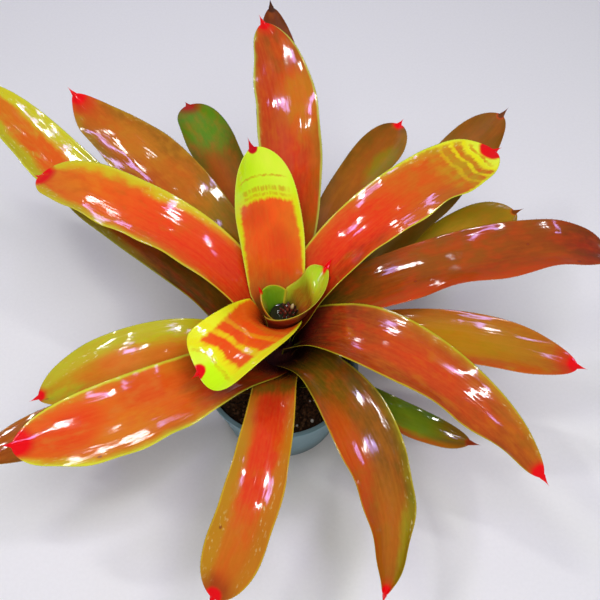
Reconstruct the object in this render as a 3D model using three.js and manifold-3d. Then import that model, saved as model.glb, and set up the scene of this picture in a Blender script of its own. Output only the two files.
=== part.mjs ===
// A potted neoregelia: a rosette of broad strap leaves with spined tips round a cup of water, in a
// plastic pot.
// Millimetres, +Z up. The origin is the middle of the pot's foot. Azimuths are degrees from +X towards +Y.
import * as THREE from "three";
import { mergeVertices } from "three/addons/utils/BufferGeometryUtils.js";
import Module from "manifold-3d";

const wasm = await Module();
wasm.setup();

// ---- driving dimensions, mm ----
const POT_HEIGHT = 88;
const POT_RIM_RADIUS = 76;
const POT_FOOT_RADIUS = 60;
const POT_WALL = 2;
const RIM_BAND_HEIGHT = 13; // the stiffening band under the pot's lip
const RIM_BAND_STEP = 2.5; // how far the band stands out from the wall
const FLOOR_THICKNESS = 2.5;
const FLOOR_LIFT = 3; // the floor stands this far above the foot ring
const FOOT_RING_WIDTH = 9;
const FOOT_PAD_RADIUS = 12; // a flat pad in the middle of the floor, level with the foot ring
const DRAIN_RADIUS = 5;
const DRAIN_CIRCLE = 32; // radius of the ring of drainage holes
const DRAIN_COUNT = 6;
const POT_SEGMENTS = 40;
const POT_EDGE = 1.5; // the rounding of the pot's foot and band
const LIP_EDGE = 1; // and of its lip

const MIX_TOP = 77; // potting mix surface above the foot
const MIX_ROUGHNESS = 1.6; // height of its lumps
const CHIP_COUNT = 22;
const CHIP_SIZE = 9;
const CHIP_THICKNESS = 3.4;
const CHIP_TILT = 12; // degrees, each way

const ROOTSTOCK_FOOT = 60; // the stem goes down into the mix as far as this
const STEM_RINGS = 8; // the marks of old leaves, as rings round the stem
const STEM_RING_DEPTH = 0.7;
const STEM_TOP = 152; // where the innermost leaf is seated
const STEM_TOP_RADIUS = 7;
const SEAT_STEP = 3; // each leaf is seated this much lower than the next one inwards
const SEAT_FLARE = 0.75; // and this much further from the axis
const SEAT_CLEARANCE = 1.3; // between the stem and the inside of a seated leaf

const BLADE_WIDTH = 50; // of a leaf whose width is 1
const BLADE_THICKNESS = 1.3; // at the midrib
const MARGIN_THICKNESS = 0.8;
const SPINE_LENGTH = 9;
const SPINE_HALF_WIDTH = [0.45, 2.4]; // at its point and at its foot
const TIP_ROUNDING = 0.6; // the outline's power at the tip: 0.5 is an ellipse, 1 is a straight taper
const SEAT_NARROWING = 0.78; // the sheath's width at the very seat
const SHEATH_WIDENING = 1.12; // and above it, under the waist
const LEAF_CLEARANCE = 3.2; // between the middles of two leaves that lie together, along the slant
const SETTLE_BLEND = 2.5; // softness of the place where a leaf starts to lie on the next one
// A leaf goes on pressing on the next one this far beyond its margin, but less by the rise.
// turn is the most that it goes round the stem, in radians.
const SKIRTS = [
  { width: 15, turn: 0.35, rise: 3 },
  { width: 38, turn: 0.9, rise: 32 },
];

const EASE = 0.9; // how far a push is carried on to the places beside it
const EASE_PASSES = 4;

const CUP_LEAN = [0.13, 0.09]; // the middle of the crown leans this much sideways for each mm of height
const WATER_TOP = 180;
const WATER_FOOT = 161;
const WATER_RADIUS = [7.2, 10.5]; // at its foot and at its top
const BUD_COUNT = 8;
const BUD_RADIUS = 2.3;
const BUD_LENGTH = 8;
const BUD_RING = 4.4; // radius of the ring of buds
const BUD_SPREAD = 18; // degrees that the ring's buds lean outwards
const FLOWER_STALK_RADIUS = 3;
const FLOWER_HEART_RADIUS = 4.6;
const FLOWER_PLACE = [8, 5.5]; // where the flower head comes out of the water
const GAP = 0.35; // between pieces that touch

const POT_COLOUR = 0x8fb3bd;
const MIX_COLOUR = 0x2a201a;
const STEM_COLOUR = 0x4a3320;
const LEAF_COLOUR = 0xd8541c;
const WATER_COLOUR = 0x26302a;
const BUD_COLOUR = 0x8a4634;

// ---- small maths ----
const rad = THREE.MathUtils.degToRad;
const { lerp, smoothstep, clamp } = THREE.MathUtils;

// Repeatable numbers from 0 to 1.
function seeded(seed) {
  let state = seed;
  return () => {
    state = (state * 1664525 + 1013904223) % 4294967296;
    return state / 4294967296;
  };
}

// A smooth curve through evenly spaced values, with t from 0 to 1 (Catmull-Rom, its ends held level).
function through(values, t) {
  const last = values.length - 1;
  const i = Math.min(Math.floor(t * last), last - 1);
  const f = t * last - i;
  const [before, from, to, after] = [i - 1, i, i + 1, i + 2].map((k) => values[clamp(k, 0, last)]);
  const [tangentIn, tangentOut] = [(to - before) / 2, (after - from) / 2];
  const rise = f * f * (3 - 2 * f);
  return from + (to - from) * rise + tangentIn * f * (1 - f) * (1 - f) - tangentOut * f * f * (1 - f);
}

// ---- leaves ----
// rank: place in the rosette, 0 innermost. azimuth: the way it points. length: along the midrib, mm.
// width: share of BLADE_WIDTH. pitch: steepness in degrees at the seat, the quarters and the tip.
// sweep: degrees that the blade turns sideways by its tip.
// fold: half-angle in degrees of the channel across the blade, near the seat, at the middle and at the tip.
// widest: where along the blade it is widest. blunt: 1.5 tapers to the tip, 4 is round.
// waist: share of the width at the narrow place above the seat.
// opens: the share of the length over which the leaf leaves the bundle of sheaths and becomes a channel.
// wrap: the furthest that the sheath goes round the stem each way, degrees.
// skew: how far the sheath's middle is turned from the midrib, degrees.
// lean: 1 for a leaf of the cup itself, which leans with the crown. strips: how many facets across.
const LEAF = {
  length: 290, width: 1, sweep: 0, fold: [60, 32, 22], widest: 0.65, blunt: 2.6, waist: 0.8,
  opens: [0.05, 0.24], wrap: 54, skew: 0, lean: 0, strips: 6,
};
const LEAVES = [
  {
    name: "leaf_cup_left", rank: 0, azimuth: 165, length: 62, width: 1.15,
    pitch: [86, 80, 74, 66, 66], opens: [2, 3], widest: 0.5, blunt: 2, waist: 1, wrap: 84, lean: 1,
    strips: 8,
  },
  {
    name: "leaf_cup_right", rank: 1, azimuth: 36, length: 85, width: 1.65,
    pitch: [84, 78, 64, 42, 44], fold: [100, 75, 60], opens: [0.5, 0.95], widest: 0.45, blunt: 2,
    waist: 1, wrap: 120, skew: -70, lean: 1, strips: 12,
  },
  {
    name: "leaf_front_curl", rank: 2, azimuth: 246, sweep: -44, length: 146, width: 1.27,
    pitch: [84, 73, 33, 2, -44], fold: [70, 45, 25], widest: 0.8, blunt: 4, opens: [0.3, 0.75],
    waist: 1.1, wrap: 80, strips: 8,
  },
  {
    name: "leaf_back_upright", rank: 3, azimuth: 94, sweep: 30, length: 184, width: 1.15,
    pitch: [72, 66, 58, 58, 56], widest: 0.55, blunt: 4, opens: [0.2, 0.5], waist: 0.9,
  },
  {
    name: "leaf_right_upper", rank: 4, azimuth: 35, length: 290, width: 1.22,
    pitch: [80, 48, 15, -1, -10], widest: 0.7, blunt: 3.4,
  },
  {
    name: "leaf_left_upper", rank: 5, azimuth: 151, length: 305, width: 1.18,
    pitch: [85, 47, 7, -3, -24], blunt: 3.2,
  },
  {
    name: "leaf_right_front", rank: 6, azimuth: 334, sweep: -26, length: 294, width: 1.22,
    pitch: [76, 32, -3, -14, -28], widest: 0.4, blunt: 1.7,
  },
  {
    name: "leaf_back_tall", rank: 7, azimuth: 81, sweep: 37, length: 294, width: 1.15,
    pitch: [62, 52, 42, 30, 22], widest: 0.55, blunt: 3.2,
  },
  {
    name: "leaf_right_long", rank: 8, azimuth: 8.5, length: 344, width: 1.12,
    pitch: [78, 32, 12, -2, -46], blunt: 2.2,
  },
  {
    name: "leaf_left_back", rank: 9, azimuth: 131.5, sweep: 4, length: 338, width: 1.25,
    pitch: [74, 43, 8, -6, 26], blunt: 1.8,
  },
  {
    name: "leaf_front_right", rank: 10, azimuth: 309, sweep: -60, length: 272, width: 1.15,
    pitch: [64, 15, -13, -25, -48], widest: 0.45, blunt: 1.8, fold: [60, 35, 90], waist: 0.7, wrap: 45,
  },
  {
    name: "leaf_left_front", rank: 11, azimuth: 227.5, sweep: -48, length: 262, width: 1.4,
    pitch: [50, 31, 17, 7, -4], widest: 0.6, wrap: 75, opens: [0.1, 0.36],
  },
  {
    name: "leaf_front_low", rank: 12, azimuth: 268, sweep: -34, length: 254, width: 1,
    pitch: [62, 24, -2, -20, -34], widest: 0.75, blunt: 3.2,
  },
  {
    name: "leaf_back_right", rank: 13, azimuth: 60, length: 270, width: 0.9,
    pitch: [68, 49, 16, -3, -1], widest: 0.75, blunt: 3,
  },
  {
    name: "leaf_right_mid", rank: 14, azimuth: 350, length: 280, width: 1.05,
    pitch: [61, 32, 8, -8, -14], blunt: 2.2,
  },
  {
    name: "leaf_left_mid", rank: 15, azimuth: 197, length: 237, width: 1.2,
    pitch: [61, 39, 0, -14, -20], blunt: 2.2,
  },
  {
    name: "leaf_back_left", rank: 16, azimuth: 109, sweep: 8, length: 290, width: 0.95,
    pitch: [62, 45, 16, -3, -13], widest: 0.75, blunt: 3,
  },
  {
    name: "leaf_back_right_low", rank: 17, azimuth: 41, length: 300, width: 1.08,
    pitch: [42, 27, 27, 30, 28], widest: 0.75, blunt: 3,
  },
  {
    name: "leaf_far_left", rank: 18, azimuth: 146.5, sweep: -15, length: 385, width: 1.14,
    pitch: [56, 22, 15, 18, 20],
  },
  {
    name: "leaf_back_hidden", rank: 19, azimuth: 88, sweep: 12, length: 330, width: 0.9,
    pitch: [48, 44, 38, 30, 28],
  },
  {
    name: "leaf_right_low", rank: 20, azimuth: 25, length: 260, width: 1.05,
    pitch: [54, 38, 24, 11, 2], widest: 0.75, blunt: 3,
  },
  {
    name: "leaf_front_tucked", rank: 21, azimuth: 322, sweep: 18, length: 194, width: 0.62,
    pitch: [50, 28, 8, 8, 20],
  },
  {
    name: "leaf_left_low", rank: 22, azimuth: 206, length: 270, width: 0.95,
    pitch: [34, 18, 12, 8, 0],
  },
];
const STATIONS = 16; // along a leaf, closer together near its seat
const STATION_BIAS = 1.3;
const MIDRIB_STEPS = 240; // of the midrib's integration
const TIP_SHARE = 0.05; // of the stations' range kept for the round end's closing

// Half the blade's width at s, 0 at the seat and 1 at the spine's point.
function halfWidth(leaf, s) {
  const spine = SPINE_LENGTH / leaf.length;
  const blade = clamp(s / (1 - spine), 0, 1);
  const towardsTip = clamp((blade - leaf.widest) / (1 - leaf.widest), 0, 1);
  const outline = Math.pow(1 - Math.pow(towardsTip, leaf.blunt), TIP_ROUNDING);
  const neck = lerp(leaf.waist, 1, smoothstep(blade, 0.16, leaf.widest));
  const seat = lerp(SEAT_NARROWING, 1, smoothstep(blade, 0, 0.1));
  const sheath = lerp(SHEATH_WIDENING, 1, smoothstep(blade, 0.08, 0.26));
  const half = (leaf.width * BLADE_WIDTH * outline * neck * seat * sheath) / 2;
  const point = lerp(...SPINE_HALF_WIDTH, clamp((1 - s) / spine, 0, 1));
  return Math.max(half, point);
}

// The midrib as a list of frames: integrated from the seat with its pitch and heading.
function midrib(leaf, stations) {
  const seatZ = STEM_TOP - leaf.rank * SEAT_STEP;
  const seatR = STEM_TOP_RADIUS + leaf.rank * SEAT_FLARE + SEAT_CLEARANCE;
  const seatTurn = rad(leaf.azimuth);
  const point = new THREE.Vector3(seatR * Math.cos(seatTurn), seatR * Math.sin(seatTurn), seatZ);
  const frames = [];
  let next = 0;
  for (let i = 0; i <= MIDRIB_STEPS; i++) {
    const s = i / MIDRIB_STEPS;
    const pitch = rad(through(leaf.pitch, s));
    const heading = rad(leaf.azimuth + leaf.sweep * s * s);
    const along = new THREE.Vector3(
      Math.cos(pitch) * Math.cos(heading),
      Math.cos(pitch) * Math.sin(heading),
      Math.sin(pitch),
    );
    while (next < stations.length && stations[next] <= s + 1e-9) {
      const across = new THREE.Vector3(-Math.sin(heading), Math.cos(heading), 0);
      const up = new THREE.Vector3().crossVectors(along, across);
      frames.push({ s: stations[next], point: point.clone(), across, up });
      next++;
    }
    point.addScaledVector(along, leaf.length / MIDRIB_STEPS);
  }
  return frames;
}

// A point of the leaf's middle surface. u runs from -1 to 1 across it.
// Near the seat the leaf is a strip of a cup round the plant's axis, and further out it is a channel
// across the midrib.
function leafPoint(leaf, frame, u) {
  const half = halfWidth(leaf, frame.s);
  const [near, middle, tip] = leaf.fold;
  const inwards = lerp(near, middle, smoothstep(frame.s, 0, 0.5));
  const fold = rad(lerp(inwards, tip, smoothstep(frame.s, 0.5, 1)));
  const radius = half / fold;
  const blade = frame.point
    .clone()
    .addScaledVector(frame.across, radius * Math.sin(u * fold))
    .addScaledVector(frame.up, radius * (1 - Math.cos(u * fold)));
  const fromAxis = Math.hypot(frame.point.x, frame.point.y);
  const reach = Math.min(half / fromAxis, rad(leaf.wrap));
  const turn = Math.atan2(frame.point.y, frame.point.x) + rad(leaf.skew) + u * reach;
  const cup = new THREE.Vector3(fromAxis * Math.cos(turn), fromAxis * Math.sin(turn), frame.point.z);
  const place = cup.lerp(blade, smoothstep(frame.s, leaf.opens[0], leaf.opens[1]));
  const rise = leaf.lean * Math.max(place.z - STEM_TOP, 0);
  return place.add(new THREE.Vector3(CUP_LEAN[0] * rise, CUP_LEAN[1] * rise, 0));
}

// The places along a leaf where its rows stand: along the blade, in its round end, and at the spine.
function stationsOf(leaf) {
  const spine = SPINE_LENGTH / leaf.length;
  const endPlaces = [1 - spine - TIP_SHARE * 0.4, 1 - spine * 0.9, 1 - spine * 0.45, 1];
  const bodySteps = STATIONS - endPlaces.length;
  const bodyEnd = 1 - spine - TIP_SHARE;
  const bodyPlace = (i) => Math.pow(i / bodySteps, STATION_BIAS) * bodyEnd;
  const body = Array.from({ length: bodySteps + 1 }, (_, i) => bodyPlace(i));
  return [...body, ...endPlaces];
}

function leafRows(leaf) {
  const acrossSteps = Array.from({ length: leaf.strips + 1 }, (_, j) => (2 * j) / leaf.strips - 1);
  return midrib(leaf, stationsOf(leaf)).map((frame) => acrossSteps.map((u) => leafPoint(leaf, frame, u)));
}

// ---- settling: each leaf lies against the leaves inside it ----
// The slant runs outwards and down at 45 degrees. A place is its position across the slant, as x and y,
// and its depth along it. Along the slant an inner leaf always comes before an outer one.
function toSlant(p) {
  const r = Math.hypot(p.x, p.y);
  const w = (r + p.z) * Math.SQRT1_2;
  return { x: (w * p.x) / r, y: (w * p.y) / r, depth: (r - p.z) * Math.SQRT1_2 };
}

function fromSlant({ x, y, depth }) {
  const w = Math.hypot(x, y);
  const r = (w + depth) * Math.SQRT1_2;
  return new THREE.Vector3((r * x) / w, (r * y) / w, (w - depth) * Math.SQRT1_2);
}

// The places beyond a margin, carried on round the stem from the last strip and drawn back out of the way.
function besideMargin(edge, before) {
  const w = Math.hypot(edge.x, edge.y);
  const r = (w + edge.depth) * Math.SQRT1_2;
  const way = Math.sign(before.x * edge.y - before.y * edge.x);
  return SKIRTS.map(({ width, turn, rise }) => {
    const azimuth = Math.atan2(edge.y, edge.x) + way * Math.min(width / r, turn);
    return { x: w * Math.cos(azimuth), y: w * Math.sin(azimuth), depth: edge.depth - rise };
  });
}

// The places below a seat.
function belowSeat(edge) {
  const w = Math.hypot(edge.x, edge.y);
  return SKIRTS.map(({ width, rise }) => {
    const share = (w - width) / w;
    return { x: edge.x * share, y: edge.y * share, depth: edge.depth - rise };
  });
}

// The triangles of a settled leaf, with its skirts, in slant places.
function sheetOf(rows) {
  const body = rows.map((row) => row.map(toSlant));
  const wide = body.map((row) => [
    ...besideMargin(row[0], row[1]).reverse(),
    ...row,
    ...besideMargin(row[row.length - 1], row[row.length - 2]),
  ]);
  const below = wide[0].map(belowSeat);
  const grid = [below.map(([, far]) => far), below.map(([near]) => near), ...wide];
  const triangles = [];
  for (let i = 0; i + 1 < grid.length; i++) {
    for (let j = 0; j + 1 < grid[i].length; j++) {
      triangles.push([grid[i][j], grid[i + 1][j], grid[i + 1][j + 1]]);
      triangles.push([grid[i][j], grid[i + 1][j + 1], grid[i][j + 1]]);
    }
  }
  return triangles;
}

// The depth of a sheet at a place, or nothing where the sheet doesn't reach.
function depthAt(sheet, x, y) {
  let deepest = -Infinity;
  for (const [a, b, c] of sheet) {
    const area = (b.x - a.x) * (c.y - a.y) - (c.x - a.x) * (b.y - a.y);
    if (Math.abs(area) < 1e-9) continue;
    const v = ((x - a.x) * (c.y - a.y) - (c.x - a.x) * (y - a.y)) / area;
    const w = ((b.x - a.x) * (y - a.y) - (x - a.x) * (b.y - a.y)) / area;
    if (v < 0 || w < 0 || v + w > 1) continue;
    deepest = Math.max(deepest, a.depth + v * (b.depth - a.depth) + w * (c.depth - a.depth));
  }
  return deepest;
}

// Eases the pushes at a grid's points: each is at least a share of its neighbours' mean.
function eased(pushes) {
  const at = (i, j) => pushes[clamp(i, 0, pushes.length - 1)][clamp(j, 0, pushes[0].length - 1)];
  return pushes.map((row, i) =>
    row.map((push, j) => {
      const mean = (at(i - 1, j) + at(i + 1, j) + at(i, j - 1) + at(i, j + 1)) / 4;
      return Math.max(push, EASE * mean);
    }),
  );
}

// Moves a leaf's rows along the slant until they lie outside every inner sheet.
function settle(rows, sheets) {
  const places = rows.map((row) => row.map(toSlant));
  let pushes = places.map((row) =>
    row.map(({ x, y, depth }) => {
      const wanted = Math.max(...sheets.map((sheet) => depthAt(sheet, x, y))) + LEAF_CLEARANCE;
      if (wanted === -Infinity) return 0;
      const short = wanted - depth;
      return (short + Math.hypot(short, SETTLE_BLEND)) / 2;
    }),
  );
  for (let pass = 0; pass < EASE_PASSES; pass++) pushes = eased(pushes);
  const moved = (place, push) => fromSlant({ ...place, depth: place.depth + push });
  return places.map((row, i) => row.map((place, j) => moved(place, pushes[i][j])));
}

// The leaf as one closed body: its middle surface moved half its thickness each way, with the edges joined.
function leafGeometry(rows) {
  const last = rows.length - 1;
  const strips = rows[0].length - 1;
  const faces = [[], []];
  rows.forEach((row, i) =>
    row.forEach((point, j) => {
      const alongWay = rows[Math.min(i + 1, last)][j].clone().sub(rows[Math.max(i - 1, 0)][j]);
      const acrossWay = row[Math.min(j + 1, strips)].clone().sub(row[Math.max(j - 1, 0)]);
      const normal = alongWay.cross(acrossWay).normalize();
      const u = Math.abs((2 * j) / strips - 1);
      const half = lerp(BLADE_THICKNESS, MARGIN_THICKNESS, u * u) / 2;
      faces[0].push(point.clone().addScaledVector(normal, half));
      faces[1].push(point.clone().addScaledVector(normal, -half));
    }),
  );
  const positions = [...faces[0], ...faces[1]].flatMap((p) => [p.x, p.y, p.z]);
  const under = faces[0].length;
  const at = (i, j) => i * (strips + 1) + j;
  const index = [];
  const quad = (a, b, c, d) => index.push(a, b, c, a, c, d);
  for (let i = 0; i < last; i++) {
    for (let j = 0; j < strips; j++) {
      quad(at(i, j), at(i + 1, j), at(i + 1, j + 1), at(i, j + 1));
      index.push(under + at(i, j), under + at(i + 1, j + 1), under + at(i + 1, j));
      index.push(under + at(i, j), under + at(i, j + 1), under + at(i + 1, j + 1));
    }
    quad(at(i + 1, 0), at(i, 0), under + at(i, 0), under + at(i + 1, 0));
    quad(at(i, strips), at(i + 1, strips), under + at(i + 1, strips), under + at(i, strips));
  }
  for (let j = 0; j < strips; j++) {
    quad(at(0, j), at(0, j + 1), under + at(0, j + 1), under + at(0, j));
    quad(at(last, j + 1), at(last, j), under + at(last, j), under + at(last, j + 1));
  }
  return geometryOf(positions, index);
}

// ---- solids ----
function geometryOf(positions, index) {
  const geometry = new THREE.BufferGeometry();
  geometry.setAttribute("position", new THREE.Float32BufferAttribute(positions, 3));
  geometry.setIndex(index);
  return geometry;
}

function solidOf(geometry) {
  const bare = geometry.clone();
  bare.deleteAttribute("normal");
  bare.deleteAttribute("uv");
  const merged = mergeVertices(bare);
  return new wasm.Manifold(
    new wasm.Mesh({
      numProp: 3,
      vertProperties: new Float32Array(merged.attributes.position.array),
      triVerts: new Uint32Array(merged.index.array),
    }),
  );
}

function geometryFrom(solid) {
  const mesh = solid.getMesh();
  return geometryOf([...mesh.vertProperties], [...mesh.triVerts]);
}

// A closed body turned round the axis from a profile of [radius, height] that starts and ends on the axis.
// shift(radius, azimuth, height) moves each point off the plain turned surface.
function turned(profile, segments, shift = () => [0, 0, 0]) {
  const positions = [];
  const index = [];
  const rings = profile.map(([radius, height]) => {
    const count = radius === 0 ? 1 : segments;
    return Array.from({ length: count }, (_, k) => {
      const azimuth = (k / segments) * 2 * Math.PI;
      const [dx, dy, dz] = shift(radius, azimuth, height);
      positions.push(radius * Math.cos(azimuth) + dx, radius * Math.sin(azimuth) + dy, height + dz);
      return positions.length / 3 - 1;
    });
  });
  for (let i = 0; i + 1 < rings.length; i++) {
    for (let k = 0; k < segments; k++) {
      const [a, b] = [rings[i][k % rings[i].length], rings[i][(k + 1) % rings[i].length]];
      const [c, d] = [rings[i + 1][(k + 1) % rings[i + 1].length], rings[i + 1][k % rings[i + 1].length]];
      if (a !== b) index.push(a, b, c);
      if (c !== d) index.push(a, c, d);
    }
  }
  return geometryOf(positions, index);
}

// ---- pot ----
const wallRadius = (z) => lerp(POT_FOOT_RADIUS, POT_RIM_RADIUS - RIM_BAND_STEP, z / POT_HEIGHT);

function potGeometry() {
  const bandFoot = POT_HEIGHT - RIM_BAND_HEIGHT;
  const floorTop = FLOOR_LIFT + FLOOR_THICKNESS;
  const ringInside = POT_FOOT_RADIUS - FOOT_RING_WIDTH;
  const mouth = POT_RIM_RADIUS - POT_WALL - RIM_BAND_STEP;
  const profile = [
    [0, 0],
    [FOOT_PAD_RADIUS, 0],
    [FOOT_PAD_RADIUS + FLOOR_LIFT, FLOOR_LIFT],
    [ringInside - FLOOR_LIFT, FLOOR_LIFT],
    [ringInside, 0],
    [POT_FOOT_RADIUS - POT_EDGE, 0],
    [POT_FOOT_RADIUS, POT_EDGE],
    [wallRadius(bandFoot), bandFoot],
    [wallRadius(bandFoot) + RIM_BAND_STEP, bandFoot + POT_EDGE],
    [POT_RIM_RADIUS, POT_HEIGHT - LIP_EDGE],
    [POT_RIM_RADIUS - LIP_EDGE, POT_HEIGHT],
    [mouth, POT_HEIGHT],
    [mouth - 0.4, POT_HEIGHT - LIP_EDGE],
    [wallRadius(floorTop) - POT_WALL, floorTop],
    [0, floorTop],
  ];
  let shell = solidOf(turned(profile, POT_SEGMENTS));
  for (let k = 0; k < DRAIN_COUNT; k++) {
    const azimuth = (k / DRAIN_COUNT) * 2 * Math.PI;
    const drain = new THREE.CylinderGeometry(DRAIN_RADIUS, DRAIN_RADIUS, 4 * floorTop, 16);
    drain.rotateX(Math.PI / 2);
    drain.translate(DRAIN_CIRCLE * Math.cos(azimuth), DRAIN_CIRCLE * Math.sin(azimuth), 0);
    shell = shell.subtract(solidOf(drain));
  }
  return geometryFrom(shell);
}

// ---- potting mix: fills the pot, with a lumpy top, chips of bark in it and a plain hole for the stem ----
const mixOutside = (z) => wallRadius(z) - POT_WALL - GAP - 0.4;

// The stem's radius at a height: a cone under the seats, straight below the mix.
function stemRadius(z) {
  const below = clamp(STEM_TOP - z, 0, STEM_TOP - MIX_TOP);
  return STEM_TOP_RADIUS + (below / SEAT_STEP) * SEAT_FLARE;
}

function lump(radius, azimuth) {
  const waves = Math.sin(azimuth * 5 + radius * 0.31) + Math.cos(azimuth * 3 - radius * 0.23);
  return MIX_ROUGHNESS * 0.5 * waves * Math.sin(azimuth * 11 + radius * 0.7);
}

// A flat chip of bark, lying a little askew in the top of the mix between two radii.
function chip(random, nearest, furthest) {
  const [long, wide] = [CHIP_SIZE * (0.6 + random() * 0.7), CHIP_SIZE * (0.4 + random() * 0.4)];
  const azimuth = random() * 2 * Math.PI;
  const radius = lerp(nearest, furthest, Math.sqrt(random()));
  const geometry = new THREE.BoxGeometry(long, wide, CHIP_THICKNESS);
  geometry.rotateX(rad((random() * 2 - 1) * CHIP_TILT));
  geometry.rotateY(rad((random() * 2 - 1) * CHIP_TILT));
  geometry.rotateZ(random() * Math.PI);
  geometry.translate(radius * Math.cos(azimuth), radius * Math.sin(azimuth), MIX_TOP + 0.6 + random());
  return solidOf(geometry);
}

function mixGeometry() {
  const foot = FLOOR_LIFT + FLOOR_THICKNESS + GAP;
  const hole = stemRadius(MIX_TOP) + GAP;
  const edge = mixOutside(MIX_TOP);
  const topRings = [0.97, 0.8, 0.62, 0.45].map((share) => [lerp(hole, edge, share), MIX_TOP + 1]);
  const profile = [
    [0, foot],
    [mixOutside(foot), foot],
    [edge, MIX_TOP - 1],
    ...topRings,
    [hole + 1, MIX_TOP],
    [hole, MIX_TOP - 1],
    [hole, ROOTSTOCK_FOOT - GAP],
    [0, ROOTSTOCK_FOOT - GAP],
  ];
  const topRadii = topRings.map(([radius]) => radius);
  const lumps = (radius, azimuth) => [0, 0, topRadii.includes(radius) ? lump(radius, azimuth) : 0];
  const body = solidOf(turned(profile, POT_SEGMENTS, lumps));
  const random = seeded(7);
  const chips = Array.from({ length: CHIP_COUNT }, () => chip(random, hole + CHIP_SIZE, edge - CHIP_SIZE));
  return geometryFrom(wasm.Manifold.union([body, ...chips]));
}

// ---- stem, water and flower head ----
function rootstockGeometry() {
  const profile = [[0, ROOTSTOCK_FOOT]];
  for (let i = 0; i <= STEM_RINGS; i++) {
    const z = lerp(ROOTSTOCK_FOOT, STEM_TOP, i / STEM_RINGS);
    profile.push([stemRadius(z) - (i % 2) * STEM_RING_DEPTH, z]);
  }
  profile.push([STEM_TOP_RADIUS - 2, WATER_FOOT - GAP - 3]);
  profile.push([0, WATER_FOOT - GAP - 2]);
  return turned(profile, 20);
}

// How far the middle of the crown stands off the axis at a height.
const crownShift = (z) => CUP_LEAN.map((lean) => lean * Math.max(z - STEM_TOP, 0));

// A round bar from the stem's top to the place where the flower head comes out of the water.
function stalk(radius, top) {
  const [fromX, fromY] = crownShift(WATER_FOOT);
  const foot = WATER_FOOT - 1.5;
  const [toX, toY] = FLOWER_PLACE;
  const profile = [[0, foot], [radius, foot], [radius, top], [0, top]];
  const leaning = turned(profile, 16, (_, azimuth, z) => {
    const share = (z - foot) / (WATER_TOP - foot);
    return [lerp(fromX, toX, share), lerp(fromY, toY, share), 0];
  });
  return solidOf(leaning);
}

function waterGeometry() {
  const [footRadius, topRadius] = WATER_RADIUS;
  const profile = [[0, WATER_FOOT], [footRadius, WATER_FOOT], [topRadius, WATER_TOP], [0, WATER_TOP]];
  const column = turned(profile, 32, (radius, azimuth, z) => [...crownShift(z), 0]);
  return geometryFrom(solidOf(column).subtract(stalk(FLOWER_STALK_RADIUS + GAP, WATER_TOP + 5)));
}

// A pointed bud. The first stands in the middle and the others lean outwards in a ring round it.
function budSolid(k, lift) {
  const [ring, spread] = k === 0 ? [0, 0] : [BUD_RING, BUD_SPREAD];
  const geometry = new THREE.SphereGeometry(1, 8, 6);
  geometry.rotateX(Math.PI / 2);
  geometry.scale(BUD_RADIUS, BUD_RADIUS, BUD_LENGTH / 2);
  geometry.rotateY(rad(spread));
  geometry.translate(ring, 0, WATER_TOP + BUD_LENGTH / 2 + lift);
  geometry.rotateZ((k / (BUD_COUNT - 1)) * 2 * Math.PI);
  geometry.translate(...FLOWER_PLACE, 0);
  return solidOf(geometry);
}

function flowerGeometry() {
  const random = seeded(3);
  const buds = Array.from({ length: BUD_COUNT }, (_, k) => budSolid(k, 0.6 + random()));
  const heart = new THREE.CylinderGeometry(FLOWER_HEART_RADIUS, FLOWER_STALK_RADIUS, 3, 16);
  heart.rotateX(Math.PI / 2);
  heart.translate(...FLOWER_PLACE, WATER_TOP + GAP + 1.5);
  const head = [stalk(FLOWER_STALK_RADIUS, WATER_TOP + 2), solidOf(heart), ...buds];
  return geometryFrom(wasm.Manifold.union(head));
}

// ---- assembly ----
const plant = new THREE.Group();
function piece(name, geometry, colour, roughness) {
  const material = new THREE.MeshStandardMaterial({ color: colour, roughness, metalness: 0 });
  const mesh = new THREE.Mesh(geometry, material);
  mesh.name = name;
  plant.add(mesh);
}

piece("pot", potGeometry(), POT_COLOUR, 0.5);
piece("potting_mix", mixGeometry(), MIX_COLOUR, 0.95);
piece("rootstock", rootstockGeometry(), STEM_COLOUR, 0.9);
piece("tank_water", waterGeometry(), WATER_COLOUR, 0.05);
piece("flower_head", flowerGeometry(), BUD_COLOUR, 0.5);

const sheets = [];
for (const overrides of LEAVES) {
  const leaf = { ...LEAF, ...overrides };
  const rows = settle(leafRows(leaf), sheets);
  sheets.push(sheetOf(rows));
  piece(leaf.name, leafGeometry(rows), LEAF_COLOUR, 0.35);
}

export default plant;
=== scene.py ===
# %% [markdown]
# # A neoregelia in its pot
#
# The plant is a rosette: broad strap leaves, each with a spined tip, packed round a cup that holds rain
# water. The young leaves in the middle are lime at the tip, the grown ones are orange-red, and the oldest
# are brown and olive. This lesson dresses a plain model of it. Every leaf is worked out again from the same
# few numbers as the plain one, only on a much finer grid, and then it gets its colours from where a point
# lies on the blade.

# %% Load the plain model
import math

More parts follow.
